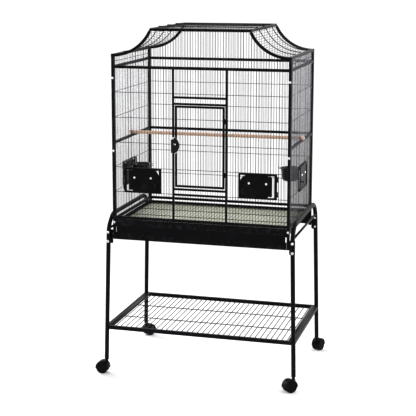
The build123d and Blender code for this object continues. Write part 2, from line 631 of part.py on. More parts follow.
# ---------------------------------------------------------------- stand
def leg_centre(z):
    """Leg axis at the height z, as distances from the middle along X and Y."""
    drop = (BASE_BOTTOM - z) / (BASE_BOTTOM - CASTER_HEIGHT)
    return (LEG_TOP_X + (LEG_FOOT_X - LEG_TOP_X) * drop, LEG_TOP_Y + (LEG_FOOT_Y - LEG_TOP_Y) * drop)


def leg_axis(side, end):
    """Plane at the floor end of a leg whose normal runs up the leg."""
    foot = Vector(side * LEG_FOOT_X, end * LEG_FOOT_Y, CASTER_HEIGHT)
    top = Vector(side * LEG_TOP_X, end * LEG_TOP_Y, BASE_BOTTOM)
    return Plane(origin=foot, z_dir=(top - foot).normalized())


def arch_tube(side, radius):
    """Round bar along the legs and the arch of one side, with no bore yet."""
    top_x, top_y = leg_centre(ARCH_CENTRE_Z)
    foot = Vector(side * LEG_FOOT_X, 0, CASTER_HEIGHT)
    rise = Vector(side * top_x, 0, ARCH_CENTRE_Z) - foot
    plane = Plane(origin=foot, x_dir=(0, 1, 0), z_dir=Vector(0, 1, 0).cross(rise.normalized()))
    height = rise.length
    with BuildPart() as tube:
        with BuildLine(plane) as path:
            FilletPolyline((-LEG_FOOT_Y, 0), (-top_y, height), (top_y, height), (LEG_FOOT_Y, 0),
                           radius=ARCH_BEND_R)
        with BuildSketch(path.line ^ 0):
            Circle(radius)
        sweep(path=path.line)
    return tube.part


def stand_side(name, side):
    """An arch of round tube whose ends are the two legs of one side, with its crossbar."""
    tube = arch_tube(side, LEG_R)
    with BuildPart() as arch:
        add(tube)
        bar_x, bar_y = leg_centre(CROSSBAR_Z)
        with Locations(Location((side * bar_x, 0, CROSSBAR_Z), (90, 0, 0))):
            Cylinder(CROSSBAR_R, 2 * bar_y)
        for end in (-1, 1):
            with Locations(leg_axis(side, end).location):
                Cylinder(LEG_R - LEG_WALL, 1140, mode=Mode.SUBTRACT)
            for z in LEG_SCREW_Z:
                x, y = leg_centre(z)
                with Locations(Location((side * x, end * y, z), (90, 0, 0))):
                    Cylinder(2.7, 2 * LEG_R + 6, mode=Mode.SUBTRACT)
    save(name, arch.part)


EAR_BACK = HALF_D + HALF_P - 1.6
EAR_T = 3.0
TUBE_CLEARANCE = 0.1


def stand_brackets():
    """Ears on the cage's corner posts that the legs are bolted to."""
    tubes = [arch_tube(side, LEG_R + TUBE_CLEARANCE) for side in (-1, 1)]
    with BuildPart() as ears:
        for side in (-1, 1):
            for end in (-1, 1):
                x0, x1 = HALF_W + HALF_P, LEG_TOP_X + LEG_R
                z0, z1 = LEG_SCREW_Z[0] - 12, CROSSBAR_Z - CROSSBAR_R - 0.8
                y = end * (EAR_BACK + EAR_T / 2)
                with Locations((side * (x0 + x1) / 2, y, (z0 + z1) / 2)):
                    Box(x1 - x0, EAR_T, z1 - z0)
                for z in LEG_SCREW_Z:
                    with Locations(Location((side * leg_centre(z)[0], y, z), (90, 0, 0))):
                        Cylinder(2.7, 3 * EAR_T, mode=Mode.SUBTRACT)
        for tube in tubes:
            add(tube, mode=Mode.SUBTRACT)
    save("stand_brackets", ears.part)


def round_screw(position, direction, head_r, head_h, shank_r, shank):
    """A round-headed screw; the head stands on the position, and its shank goes the other way."""
    seat = Plane(origin=position, z_dir=direction)
    with Locations(seat.location):
        Cylinder(shank_r, shank, align=(Align.CENTER, Align.CENTER, Align.MAX))
        Cylinder(head_r, head_h * 0.45, align=(Align.CENTER, Align.CENTER, Align.MIN))
    with Locations(seat.offset(head_h * 0.45).location):
        Cone(head_r, head_r * 0.55, head_h * 0.55, align=(Align.CENTER, Align.CENTER, Align.MIN))


def leg_screws():
    reach = LEG_TOP_Y + LEG_R - EAR_BACK
    with BuildPart() as screws:
        for side in (-1, 1):
            for end in (-1, 1):
                for z in LEG_SCREW_Z:
                    x, y = leg_centre(z)
                    round_screw((side * x, end * (y + LEG_R + 0.1), z), (0, end, 0), 5.0, 3.6, 2.5,
                                reach + 6)
                    with Locations(Location((side * x, end * (EAR_BACK - 2.2), z), (90, 0, 0))):
                        Cylinder(4.6, 4.2)
    save("leg_screws", screws.part)


def panel_bolts():
    with BuildPart() as bolts:
        for side in (-1, 1):
            for end in (-1, 1):
                for z in BOLT_LEVELS:
                    round_screw((side * HALF_W, end * (HALF_D + HALF_P), z), (0, end, 0), 4.6, 3.2, 2.5,
                                POST)
    save("panel_bolts", bolts.part)


def shelf():
    leg_x, leg_y = leg_centre(SHELF_Z)
    half = SHELF_RAIL / 2
    bracket_z = SHELF_Z - half + 3.2
    with BuildPart() as deck:
        for side in (-1, 1):
            with Locations((0, side * leg_y, SHELF_Z)):
                Box(2 * leg_x, SHELF_RAIL, SHELF_RAIL)
            with Locations((side * leg_x, 0, SHELF_Z)):
                Box(SHELF_RAIL, 2 * leg_y, SHELF_RAIL)
        for side in (-1, 1):
            for end in (-1, 1):
                with Locations((side * (leg_x + 12), end * (leg_y + 12), SHELF_Z)):
                    Box(24, 24, 2 * SHELF_RAIL, mode=Mode.SUBTRACT)
                with Locations(leg_axis(side, end).location):
                    Cylinder(LEG_R, 600, align=(Align.CENTER, Align.CENTER, Align.MIN), mode=Mode.SUBTRACT)
                with Locations(Location((side * (leg_x - 30), end * (leg_y - half), bracket_z), (90, 0, 0))):
                    Cylinder(1.5, 8, mode=Mode.SUBTRACT)
        count = round(2 * (leg_x - half) / SHELF_PITCH)
        gap = 2 * (leg_x - half) / count
        with BuildSketch(Plane.XY.offset(SHELF_Z - SHELF_WIRE / 2)):
            with Locations(*[(-leg_x + half + gap * k, 0) for k in range(1, count)]):
                Rectangle(SHELF_WIRE, 2 * (leg_y - half) + 2)
            with Locations(*[(0, y) for y in (-leg_y / 3, leg_y / 3)]):
                Rectangle(2 * (leg_x - half) + 2, SHELF_WIRE)
        extrude(amount=SHELF_WIRE)
    save("shelf", deck.part)
    with BuildPart() as corners:
        for side in (-1, 1):
            for end in (-1, 1):
                with Locations((side * (leg_x - half - 16), end * (leg_y - half - 1.0), bracket_z)):
                    Box(32, 2.0, 6)
                with Locations((side * (leg_x - half - 1.0), end * (leg_y - half - 16), bracket_z)):
                    Box(2.0, 32, 6)
                with Locations(Location((side * (leg_x - 30), end * (leg_y - half), bracket_z), (90, 0, 0))):
                    Cylinder(1.5, 8, mode=Mode.SUBTRACT)
    save("shelf_brackets", corners.part)
    with BuildPart() as screws:
        for side in (-1, 1):
            for end in (-1, 1):
                round_screw((side * (leg_x - 30), end * (leg_y - half - 2.0), bracket_z), (0, -end, 0),
                            2.8, 2.2, 1.5, 5.9)
    save("shelf_screws", screws.part)


# ---------------------------------------------------------------- casters
def caster_foot(corner):
    """Centre of a caster's stem on the plan."""
    side = 1 if corner.endswith("right") else -1
    end = -1 if corner.startswith("front") else 1
    return side * (LEG_FOOT_X - 0.3), end * (LEG_FOOT_Y - 0.2)


def caster_sockets():
    with BuildPart() as plugs:
        for corner in CASTER_TURN:
            x, y = caster_foot(corner)
            with Locations((x, y, CASTER_HEIGHT - 2.7)):
                Cylinder(LEG_R, 2.2, align=(Align.CENTER, Align.CENTER, Align.MIN))
                Cylinder(7.8, 27, align=(Align.CENTER, Align.CENTER, Align.MIN))
                Cylinder(STEM_R + RUNNING, 60, mode=Mode.SUBTRACT)
    save("caster_sockets", plugs.part)


def caster(corner):
    """A hooded twin-wheel caster; its trail points along the local +X of its own plane."""
    x, y = caster_foot(corner)
    turn = CASTER_TURN[corner]
    heading = Vector(cos(radians(turn)), sin(radians(turn)), 0)
    plane = Plane(origin=(x, y, 0), x_dir=heading, z_dir=(0, 0, 1))
    hub = (TRAIL, 0, WHEEL_R)
    width = WEB + 2 * WHEEL_WIDTH + 5.0
    with BuildPart(plane) as body:
        with Locations((0, 0, WHEEL_R + 10)):
            Cylinder(7.0, CASTER_HEIGHT - 13.2 - WHEEL_R, align=(Align.CENTER, Align.CENTER, Align.MIN))
        with Locations(Location(hub, (90, 0, 0))):
            Cylinder(HOOD_R, width)
            Cylinder(HOOD_R - HOOD_WALL, width + 2, mode=Mode.SUBTRACT)
        with Locations((TRAIL, 0, WHEEL_R - HOOD_R - 8)):
            Box(3 * HOOD_R, 2 * width, 2 * (HOOD_R + 4), mode=Mode.SUBTRACT)
        with Locations(Location(hub, (90, 0, 0))):
            Cylinder(HOOD_R - 0.5, WEB)
        with Locations((TRAIL, 0, -1)):
            Box(3 * HOOD_R, 2 * width, 2 * (WHEEL_R - 13), mode=Mode.SUBTRACT)
        with Locations((0, 0, WHEEL_R + 23)):
            Cylinder(STEM_R, 40, align=(Align.CENTER, Align.CENTER, Align.MIN))
        with Locations(Location(hub, (90, 0, 0))):
            Cylinder(3.0 + RUNNING, width + 2, mode=Mode.SUBTRACT)
    save(f"caster_{corner}_body", body.part)
    with BuildPart(plane) as wheels:
        with Locations(Location(hub, (90, 0, 0))):
            Cylinder(3.0, WEB + 2 * WHEEL_WIDTH)
        for side in (-1, 1):
            offset = side * (WEB / 2 + 1 + WHEEL_WIDTH / 2)
            with Locations(Location((TRAIL, offset, WHEEL_R), (90, 0, 0))):
                Cylinder(WHEEL_R, WHEEL_WIDTH)
        rims = wheels.edges().filter_by(GeomType.CIRCLE).filter_by(lambda e: e.radius > WHEEL_R - 0.1)
        fillet(rims, 2.0)
    save(f"caster_{corner}_wheels", wheels.part)


# ---------------------------------------------------------------- perch
def perch():
    with BuildPart() as dowel:
        with Locations(Location((0, 0, PERCH_Z), (0, 90, 0))):
            Cylinder(PERCH_R, 2 * PERCH_HALF)
        chamfer(dowel.edges().filter_by(GeomType.CIRCLE), 1.0)
        for side in (-1, 1):
            for cheek in (-1, 1):
                with Locations((side * HALF_W, cheek * (4.6 + PERCH_R), PERCH_Z)):
                    Box(POST + 2.0, 2 * PERCH_R, 3 * PERCH_R, mode=Mode.SUBTRACT)
    save("perch", dowel.part)


front_panel()
rear_panel()
side_panel("left_panel", LEFT)
side_panel("right_panel", RIGHT)
gable("front_gable", FRONT)
gable("rear_gable", REAR)
roof_top()
roof_side("roof_left", -1)
roof_side("roof_right", 1)
main_door()
door_hinge_pins()
latch()
feeder("front_left_feeder", FRONT, -FRONT_FEEDER_U, -1)
feeder("front_right_feeder", FRONT, FRONT_FEEDER_U, 1)
feeder("right_feeder", RIGHT, SIDE_FEEDER_U, 1)
feeder("left_feeder", LEFT, SIDE_FEEDER_U, 1)
rear_apron()
runners()
grate()
tray()
stand_side("left_arch", -1)
stand_side("right_arch", 1)
stand_brackets()
leg_screws()
panel_bolts()
shelf()
caster_sockets()
for corner_name in CASTER_TURN:
    caster(corner_name)
perch()
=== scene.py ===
from math import asin, cos, pi, radians, sin, sqrt

import bmesh
import bpy
from mathutils import Matrix, Vector


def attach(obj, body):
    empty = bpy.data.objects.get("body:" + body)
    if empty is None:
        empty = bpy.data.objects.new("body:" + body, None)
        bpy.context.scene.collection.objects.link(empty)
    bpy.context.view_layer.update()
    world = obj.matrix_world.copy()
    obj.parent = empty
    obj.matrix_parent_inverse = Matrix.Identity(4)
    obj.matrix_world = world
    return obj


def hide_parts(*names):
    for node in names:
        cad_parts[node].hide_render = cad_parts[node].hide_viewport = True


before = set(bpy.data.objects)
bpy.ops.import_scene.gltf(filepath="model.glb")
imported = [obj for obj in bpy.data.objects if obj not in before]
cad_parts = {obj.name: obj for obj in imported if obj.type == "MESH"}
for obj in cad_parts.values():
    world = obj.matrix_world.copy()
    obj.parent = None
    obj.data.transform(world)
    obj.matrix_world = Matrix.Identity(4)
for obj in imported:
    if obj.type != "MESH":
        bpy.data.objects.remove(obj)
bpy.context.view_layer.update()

# ------------------------------------------------------------------ sizes, in millimetres
HALF_W, HALF_D, POST, RAIL, MID = 406.4, 269.2, 12.7, 9.5, 12.0
HALF_P = POST / 2
WIRE_R = 0.9
CROSS_R = 1.25
PITCH = 12.7
BASE_BOTTOM, BASE_TOP = 642.0, 751.0
LEVEL = 114.2
EAVE = BASE_TOP + 6 * LEVEL
POST_TOP = EAVE + 52.0
ROOF_RISE, ROOF_HALF = 116.5, 226.8
ROOF_TOP = POST_TOP + ROOF_RISE
LEVELS = [BASE_TOP + k * LEVEL for k in range(1, 6)]
BOTTOM_RAIL_Z, MID_RAIL_Z = 736.0, 1090.6
MULLION, STILE = 123.0, 110.0
DOOR_TOP, DOOR_BOTTOM = 1265.0, 905.0
RAILS = (BASE_TOP + LEVEL, 890.0, 1277.0, 1306.0)
HINGE_U, HINGE_N = 121.0, 8.5
HINGE_Z = (DOOR_BOTTOM + 60, DOOR_TOP - 60)
LATCH_Z = 1090.0
PIVOT_U, PIVOT_Z = -111.0, 1097.0
FEEDER_W, FEEDER_H, FEEDER_BOTTOM = 174.0, 115.0, 865.0
FEEDER_MID = FEEDER_BOTTOM + FEEDER_H / 2
FRONT_FEEDER_U, SIDE_FEEDER_U = 267.0, 35.5
FEEDER_N, FEEDER_KNUCKLE = 7.5, 33.5
CUP_N, CUP_RIM = -55.0, 960.0
RING_R, STRAP_X, STRAP_Z = 45.0, 39, 935
CLIP_X, CLIP_Z = -64, 908
GRATE_Z, GRATE_BAR, GRATE_PITCH = 721.0, 5.0, 18.3
GRATE_CROSS_Y = (-204, -68, 68, 204)
STRIP_LOW, STRIP_HIGH = 710.6, 738.1
TRAY_FLOOR, TRAY_RIM, TRAY_FRONT_TOP = 702.0, 709.6, 710.5
SHEET = 1.2
LEG_R = 10.0
LEG_TOP, LEG_FOOT = (430.8, 287.3), (444.5, 296.5)
LEG_END, ARCH_Z, ARCH_BEND = 70.0, 753.0, 80.0
CROSSBAR_Z, CROSSBAR_R = 693.0, 5.5
LEG_BOLT_Z, EAR_IN = (634.0, 677.0), 274.0
PANEL_SCREW_Z = (722.0, 1054.0, 1386.0)
SHELF_Z, SHELF_TUBE, SHELF_PITCH = 223.0, 17, 25.0
WHEEL_R, TRAIL = 28.0, 20.0
PERCH_Z, PERCH_R = 1104.6, 8
ARC_Z = POST_TOP + ((HALF_W - ROOF_HALF) ** 2 + ROOF_RISE**2) / (2 * ROOF_RISE)
ARC_R = ARC_Z - POST_TOP
SWEEP = asin((HALF_W - ROOF_HALF) / ARC_R)
CORNERS = [(side, end) for side in (-1, 1) for end in (-1, 1)]
UP = Vector((0, 0, 1))

MM = 0.001


# ------------------------------------------------------------------ mesh helpers
def vec(x, y, z):
    return Vector((x * MM, y * MM, z * MM))


# on each wall: u to the right as seen from outside, z up, n outwards from the middle of the posts
def front(u, z, n=0.0):
    return vec(u, -HALF_D - n, z)


def rear(u, z, n=0.0):
    return vec(-u, HALF_D + n, z)


def right(u, z, n=0.0):
    return vec(HALF_W + n, u, z)


def left(u, z, n=0.0):
    return vec(-HALF_W - n, -u, z)


def skin(bm, rings, loop=False):
    """Faces between rings of equal count, closed at both ends or round in a loop."""
    rows = [[bm.verts.new(p) for p in ring] for ring in rings]
    pairs = list(zip(rows, rows[1:]))
    if loop:
        pairs.append((rows[-1], rows[0]))
    for low, high in pairs:
        count = len(low)
        for i in range(count):
            j = (i + 1) % count
            bm.faces.new((low[i], low[j], high[j], high[i]))
    if not loop:
        bm.faces.new(rows[0][::-1])
        bm.faces.new(rows[-1])


def circle(r, count):
    return [(r * cos(2 * pi * i / count), r * sin(2 * pi * i / count)) for i in range(count)]


def hoop(centre, first, second, r, count):
    """Points of a circle in the plane of two directions."""
    turns = [2 * pi * k / count for k in range(count)]
    return [centre + (first * cos(a) + second * sin(a)) * r * MM for a in turns]


def rounded(w, h, r, steps=3):
    points = []
    for sx, sy, start in ((1, 1, 0), (-1, 1, 90), (-1, -1, 180), (1, -1, 270)):
        for i in range(steps + 1):
            a = radians(start + 90 * i / steps)
            points.append((sx * (w / 2 - r) + r * cos(a), sy * (h / 2 - r) + r * sin(a)))
    return points


def sides(direction, hint=None):
    hint = hint or (UP if abs(direction.z) < 0.9 else Vector((0, 1, 0)))
    first = direction.cross(hint).normalized()
    return first, first.cross(direction).normalized()


def prism(bm, a, b, outline, hint=None, nose=0.4):
    """A straight bar with a small chamfer at both ends."""
    direction = (b - a).normalized()
    first, second = sides(direction, hint)
    big = max(abs(x) for x, _ in outline)
    shrink = max(0.0, 1 - nose / big)
    step = direction * nose * MM
    rings = []
    for place, size in ((a, shrink), (a + step, 1), (b - step, 1), (b, shrink)):
        rings.append([place + (first * x + second * y) * size * MM for x, y in outline])
    skin(bm, rings)


def rod(bm, a, b, r, count=10, nose=None):
    prism(bm, a, b, circle(r, count), nose=r * 0.35 if nose is None else nose)


def tube(bm, a, b, w, h=None, hint=None, r=1.5):
    prism(bm, a, b, rounded(w, h or w, r), hint)


def sweep(bm, points, outline, normal=None, loop=False):
    """An outline carried along a path; without a normal, the path may leave its plane."""
    count = len(points)
    rings = []
    first = None
    for i, point in enumerate(points):
        before = points[i - 1] if i or loop else point
        after = points[(i + 1) % count] if i < count - 1 or loop else point
        direction = (after - before).normalized()
        if normal is not None:
            first = normal
        elif first is None:
            first = sides(direction)[0]
        else:
            first = (first - direction * first.dot(direction)).normalized()
        second = first.cross(direction).normalized()
        rings.append([point + (first * x + second * y) * MM for x, y in outline])
    skin(bm, rings, loop=loop)


def lathe(bm, origin, axis, profile, count):
    """Profile points are (radius, height along the axis)."""
    first, second = sides(axis)
    skin(bm, [hoop(origin + axis * h * MM, first, second, max(r, 0.01), count) for r, h in profile])


def inset(outline, amount):
    """The outline moved inwards; it runs anticlockwise."""
    count = len(outline)
    moved = []
    for i in range(count):
        p, q, r = (Vector(outline[j % count]) for j in (i - 1, i, i + 1))
        a, b = (q - p).normalized(), (r - q).normalized()
        na, nb = Vector((-a.y, a.x)), Vector((-b.y, b.x))
        both = na + nb
        moved.append(q + both * (amount / max(0.4, both.dot(na))))
    return moved


def area(outline):
    return sum(a[0] * b[1] - b[0] * a[1] for a, b in zip(outline, outline[1:] + outline[:1])) / 2


def plate(bm, outline, place, n0, n1, edge=0.3):
    """A flat piece between the levels n0 and n1 of a wall, with broken edges."""
    if area(outline) < 0:
        outline = outline[::-1]
    small = inset(outline, edge)
    rings = [[place(x, y, n) for x, y in ring]
             for ring, n in ((small, n0), (outline, n0 + edge), (outline, n1 - edge), (small, n1))]
    skin(bm, rings)


def box_outline(u0, u1, z0, z1, r):
    return [(x + (u0 + u1) / 2, y + (z0 + z1) / 2) for x, y in rounded(abs(u1 - u0), abs(z1 - z0), r)]


def bead(bm, centre, r, squash=(1, 1, 1)):
    """A small weld, as a ball or a ball drawn out along the axes."""
    made = bmesh.ops.create_icosphere(bm, subdivisions=1, radius=r * MM)
    for v in made["verts"]:
        v.co = v.co * Vector(squash) + centre


def ring_frame(bm, place, u0, u1, z0, z1, w, d, n, r=1.4):
    """A mitred frame of bar; the edges given are those of its outside."""
    cu, cz = (u0 + u1) / 2, (z0 + z1) / 2
    hu, hz = abs(u1 - u0) / 2 - w / 2, (z1 - z0) / 2 - w / 2
    outline = rounded(w, d, r)
    rings = []
    for su, sz in ((1, 1), (-1, 1), (-1, -1), (1, -1)):
        rings.append([place(cu + su * (hu + x), cz + sz * (hz + x), n + y) for x, y in outline])
    skin(bm, rings, loop=True)


def screw_head(bm, place, axis, r, h):
    """A round head with a cross recess, on the seat given."""
    first, second = sides(axis)
    rings, steps, count = [], 9, 40
    lip = 0.18 * h
    levels = [(r * 0.96, 0.0), (r, lip)]
    for k in range(1, steps + 1):
        a = (pi / 2) * k / steps
        levels.append((max(r * cos(a), 0.02 * r), lip + (h - lip) * sin(a)))
    for radius, height in levels:
        ring = []
        for i in range(count):
            x, y = radius * cos(2 * pi * i / count), radius * sin(2 * pi * i / count)
            z = height
            near, far = min(abs(x), abs(y)), max(abs(x), abs(y))
            if near < 0.15 * r and far < 0.56 * r:
                z -= 0.55 * h
            ring.append(place + (first * x + second * y + axis * z) * MM)
        rings.append(ring)
    skin(bm, rings)


def emit(bm, name, body, nodes, finish, sharp=38):
    """Turns the collected faces into a piece that rides on a body and stands for CAD nodes."""
    bmesh.ops.recalc_face_normals(bm, faces=bm.faces[:])
    for face in bm.faces:
        face.smooth = True
    mesh = bpy.data.meshes.new(name)
    bm.to_mesh(mesh)
    bm.free()
    mesh.set_sharp_from_angle(angle=radians(sharp))
    mesh.materials.append(FINISH[finish])
    piece = bpy.data.objects.new(name, mesh)
    bpy.context.scene.collection.objects.link(piece)
    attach(piece, body)
    if nodes:
        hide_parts(*nodes)
    return piece


# ------------------------------------------------------------------ materials
class Graph:
    """Short names for building one node material."""

    def __init__(self, name):
        self.material = bpy.data.materials.new(name)
        self.material.use_nodes = True
        self.tree = self.material.node_tree
        self.shader = self.tree.nodes["Principled BSDF"]
        self.coords = self.tree.nodes.new("ShaderNodeTexCoord").outputs["Object"]

    def add(self, kind, **values):
        node = self.tree.nodes.new(kind)
        for key, value in values.items():
            if key[0].isupper():
                node.inputs[key.replace("_", " ")].default_value = value
            else:
                setattr(node, key, value)
        return node

    def link(self, a, b):
        self.tree.links.new(a, b)

    def stretched(self, scale):
        mapping = self.add("ShaderNodeMapping", Scale=scale)
        self.link(self.coords, mapping.inputs["Vector"])
        return mapping.outputs["Vector"]

    def noise(self, scale, detail=3.0, rough=0.55, where=None, distortion=0.0):
        node = self.add("ShaderNodeTexNoise", Scale=scale, Detail=detail, Roughness=rough,
                        Distortion=distortion)
        self.link(where or self.coords, node.inputs["Vector"])
        return node.outputs["Fac"]

    def ramp(self, source, low, high, a=0.35, b=0.65):
        node = self.add("ShaderNodeValToRGB")
        node.color_ramp.elements[0].position = a
        node.color_ramp.elements[1].position = b
        node.color_ramp.elements[0].color = (*low, 1)
        node.color_ramp.elements[1].color = (*high, 1)
        self.link(source, node.inputs["Fac"])
        return node.outputs["Color"]

    def span(self, source, low, high, a=0.3, b=0.7):
        node = self.add("ShaderNodeMapRange")
        for index, value in ((1, a), (2, b), (3, low), (4, high)):
            node.inputs[index].default_value = value
        self.link(source, node.inputs["Value"])
        return node.outputs["Result"]

    def mix(self, factor, a, b):
        """From the colour of a socket to a constant colour."""
        node = self.add("ShaderNodeMix", data_type="RGBA")
        self.link(factor, node.inputs["Factor"])
        self.link(a, node.inputs["A"])
        node.inputs["B"].default_value = (*b, 1)
        return node.outputs["Result"]

    def bump(self, height, distance, strength, under=None):
        node = self.add("ShaderNodeBump", Strength=strength, Distance=distance)
        self.link(height, node.inputs["Height"])
        if under:
            self.link(under, node.inputs["Normal"])
        return node.outputs["Normal"]

    def upward(self):
        """How far the surface faces up, from 0 to 1."""
        geometry = self.add("ShaderNodeNewGeometry")
        split = self.add("ShaderNodeSeparateXYZ")
        self.link(geometry.outputs["Normal"], split.inputs["Vector"])
        return self.span(split.outputs["Z"], 0.0, 1.0, 0.3, 1.0)

    def edges(self):
        """Convex edges, from the curvature of the mesh."""
        geometry = self.add("ShaderNodeNewGeometry")
        return self.span(geometry.outputs["Pointiness"], 0.0, 1.0, 0.53, 0.62)

    def product(self, a, b):
        node = self.add("ShaderNodeMath", operation="MULTIPLY")
        self.link(a, node.inputs[0])
        self.link(b, node.inputs[1])
        return node.outputs["Value"]

    def done(self, color, rough, normal, **values):
        for socket, value in (("Base Color", color), ("Roughness", rough), ("Normal", normal)):
            self.link(value, self.shader.inputs[socket])
        for key, value in values.items():
            self.shader.inputs[key.replace("_", " ")].default_value = value
        return self.material


def powder_coat(name, low, high, specular, rough_low, rough_high):
    g = Graph(name)
    patch = g.noise(7.0, 4.0)
    grain = g.noise(900.0, 2.0)
    peel = g.noise(330.0, 2.0)
    color = g.ramp(patch, low, high)
    dust = g.product(g.upward(), g.span(g.noise(38.0, 5.0, 0.65), 0.0, 0.30, 0.42, 0.75))
    color = g.mix(dust, color, (0.030, 0.029, 0.031))
    rub = g.product(g.edges(), g.span(g.noise(60.0, 4.0), 0.0, 0.22, 0.48, 0.7))
    color = g.mix(rub, color, (0.09, 0.09, 0.095))
    rough = g.span(g.noise(120.0, 3.0), rough_low, rough_high)
    normal = g.bump(grain, 0.00012, 0.35, g.bump(peel, 0.0004, 0.35))
    return g.done(color, rough, normal, Specular_IOR_Level=specular, Coat_Weight=0.03,
                  Coat_Roughness=0.25)


def chrome():
    g = Graph("chrome_fasteners")
    patch = g.noise(60.0, 3.0)
    fine = g.noise(40.0, 4.0, where=g.stretched((60.0, 3.0, 60.0)))
    color = g.ramp(patch, (0.70, 0.70, 0.72), (0.84, 0.84, 0.86))
    rough = g.span(fine, 0.07, 0.24)
    return g.done(color, rough, g.bump(fine, 0.00005, 0.4), Metallic=1.0)


def clip_steel():
    g = Graph("clip_steel")
    patch = g.noise(90.0, 4.0)
    fine = g.noise(60.0, 4.0, where=g.stretched((4.0, 40.0, 40.0)))
    color = g.ramp(patch, (0.10, 0.10, 0.105), (0.22, 0.22, 0.23))
    return g.done(color, g.span(fine, 0.22, 0.42), g.bump(fine, 0.0001, 0.4), Metallic=0.9)


def plastic(name, low, high, rough_low, rough_high, coat, specular):
    g = Graph(name)
    patch = g.noise(22.0, 4.0)
    grain = g.noise(1400.0, 2.0)
    flow = g.noise(16.0, 3.0, where=g.stretched((1.0, 1.0, 5.0)), distortion=0.6)
    color = g.ramp(patch, low, high)
    scuff = g.product(g.edges(), g.span(g.noise(80.0, 4.0), 0.0, 0.35, 0.45, 0.7))
    color = g.mix(scuff, color, tuple(min(1.0, 4 * c + 0.03) for c in high))
    normal = g.bump(grain, 0.00008, 0.3, g.bump(flow, 0.0006, 0.25))
    return g.done(color, g.span(g.noise(70.0, 3.0), rough_low, rough_high), normal, Coat_Weight=coat,
                  Coat_Roughness=0.12, Specular_IOR_Level=specular)


def rubber():
    g = Graph("wheel_rubber")
    grain = g.noise(700.0, 4.0)
    dust = g.span(g.noise(45.0, 5.0, 0.65), 0.0, 0.5, 0.45, 0.8)
    color = g.ramp(g.noise(18.0), (0.003, 0.003, 0.0034), (0.005, 0.005, 0.0054))
    color = g.mix(dust, color, (0.012, 0.0115, 0.011))
    rough = g.span(g.noise(90.0), 0.45, 0.7)
    return g.done(color, rough, g.bump(grain, 0.00015, 0.5), Specular_IOR_Level=0.08)


def tray_enamel():
    g = Graph("olive_tray")
    patch = g.noise(6.0, 5.0, 0.6)
    speck = g.noise(420.0, 2.0)
    stain = g.span(g.noise(14.0, 6.0, 0.7), 0.0, 0.35, 0.52, 0.75)
    color = g.ramp(patch, (0.62, 0.64, 0.51), (0.73, 0.745, 0.61))
    color = g.mix(stain, color, (0.46, 0.46, 0.35))
    color = g.mix(g.span(speck, 0.0, 0.5, 0.68, 0.74), color, (0.30, 0.30, 0.24))
    normal = g.bump(g.noise(260.0), 0.0002, 0.3)
    return g.done(color, g.span(g.noise(30.0), 0.38, 0.55), normal)


def perch_wood():
    g = Graph("perch_wood")
    along = g.stretched((0.07, 1.0, 1.0))
    rings = g.add("ShaderNodeTexWave", Scale=95.0, Distortion=7.0, Detail=3.0, wave_type="RINGS",
                  rings_direction="X")
    rings.inputs["Detail Scale"].default_value = 0.6
    g.link(along, rings.inputs["Vector"])
    fibre = g.noise(900.0, 4.0, where=g.stretched((0.02, 1.0, 1.0)))
    color = g.ramp(rings.outputs["Fac"], (0.56, 0.37, 0.27), (0.74, 0.54, 0.42), 0.2, 0.8)
    pores = g.span(fibre, 0.0, 0.45, 0.55, 0.72)
    color = g.mix(pores, color, (0.40, 0.25, 0.17))
    normal = g.bump(fibre, 0.0003, 0.5)
    return g.done(color, g.span(fibre, 0.48, 0.66), normal)


FINISH = {
    "powder_coat": powder_coat("powder_coat", (0.0022, 0.0021, 0.0028), (0.0044, 0.0042, 0.0054),
                               0.06, 0.30, 0.44),
    # the side wires' copy of the black powder coat: its base colour is several times lighter than the
    # tubes' as painted light, standing in for highlights and wash-out on the thin lit wires
    "wire_coat_painted_lit": powder_coat("wire_coat_painted_lit", (0.012, 0.0114, 0.0140), (0.020, 0.0190, 0.0230),
                             0.85, 0.17, 0.26),
    "chrome_fasteners": chrome(),
    "clip_steel": clip_steel(),
    "black_plastic": plastic("black_plastic", (0.0035, 0.0035, 0.0040), (0.0060, 0.0060, 0.0066),
                             0.16, 0.28, 0.08, 0.16),
    "cup_plastic": plastic("cup_plastic", (0.009, 0.010, 0.0065), (0.013, 0.014, 0.009),
                           0.18, 0.32, 0.06, 0.20),
    "caster_plastic": plastic("caster_plastic", (0.0035, 0.0035, 0.0038), (0.0045, 0.0045, 0.0050),
                              0.30, 0.46, 0.0, 0.07),
    "olive_tray": tray_enamel(),
    "wheel_rubber": rubber(),
    "perch_wood": perch_wood(),
}


# ------------------------------------------------------------------ walls
def gap_count(length, odd=False):
    count = round(length / PITCH)
    if odd and count % 2 == 0:
        count += 1
    return count


def kept(spans, low, high):
    """The spans without what lies between low and high; scraps under 2 mm are dropped."""
    return [(a, b) for p, q in spans for a, b in ((p, min(q, low)), (max(p, high), q)) if b - a > 2]


def wire_field(bm, place, u0, u1, z0, z1, levels, odd=False, cut=()):
    """Round wires welded to cross wires on their inner side; cut lists openings without wire."""
    count = gap_count(u1 - u0, odd)
    step = (u1 - u0) / count
    uprights = [u0 + step * k for k in range(1, count)]
    for u in uprights:
        pieces = [(z0 - 0.8, z1 + 0.8)]
        for c0, c1, d0, d1 in cut:
            if c0 < u < c1:
                pieces = kept(pieces, d0, d1)
        for a, b in pieces:
            rod(bm, place(u, a), place(u, b), WIRE_R, 10, 0.1)
    inner = -WIRE_R - CROSS_R + 0.35
    for z in levels:
        if not z0 < z < z1:
            continue
        pieces = [(u0 - 0.8, u1 + 0.8)]
        for c0, c1, d0, d1 in cut:
            if d0 < z < d1:
                pieces = kept(pieces, c0, c1)
        for a, b in pieces:
            rod(bm, place(a, z, inner), place(b, z, inner), CROSS_R, 10, 0.1)
            for u in uprights:
                if a < u < b:
                    bead(bm, place(u, z, inner / 2), 1.15)


def upright_tube(bm, place, u, z0, z1, w=POST):
    tube(bm, place(u, z0), place(u, z1), w, hint=place(0, 0, 1) - place(0, 0, 0))


def level_tube(bm, place, u0, u1, z, w=POST):
    tube(bm, place(u0, z), place(u1, z), w)


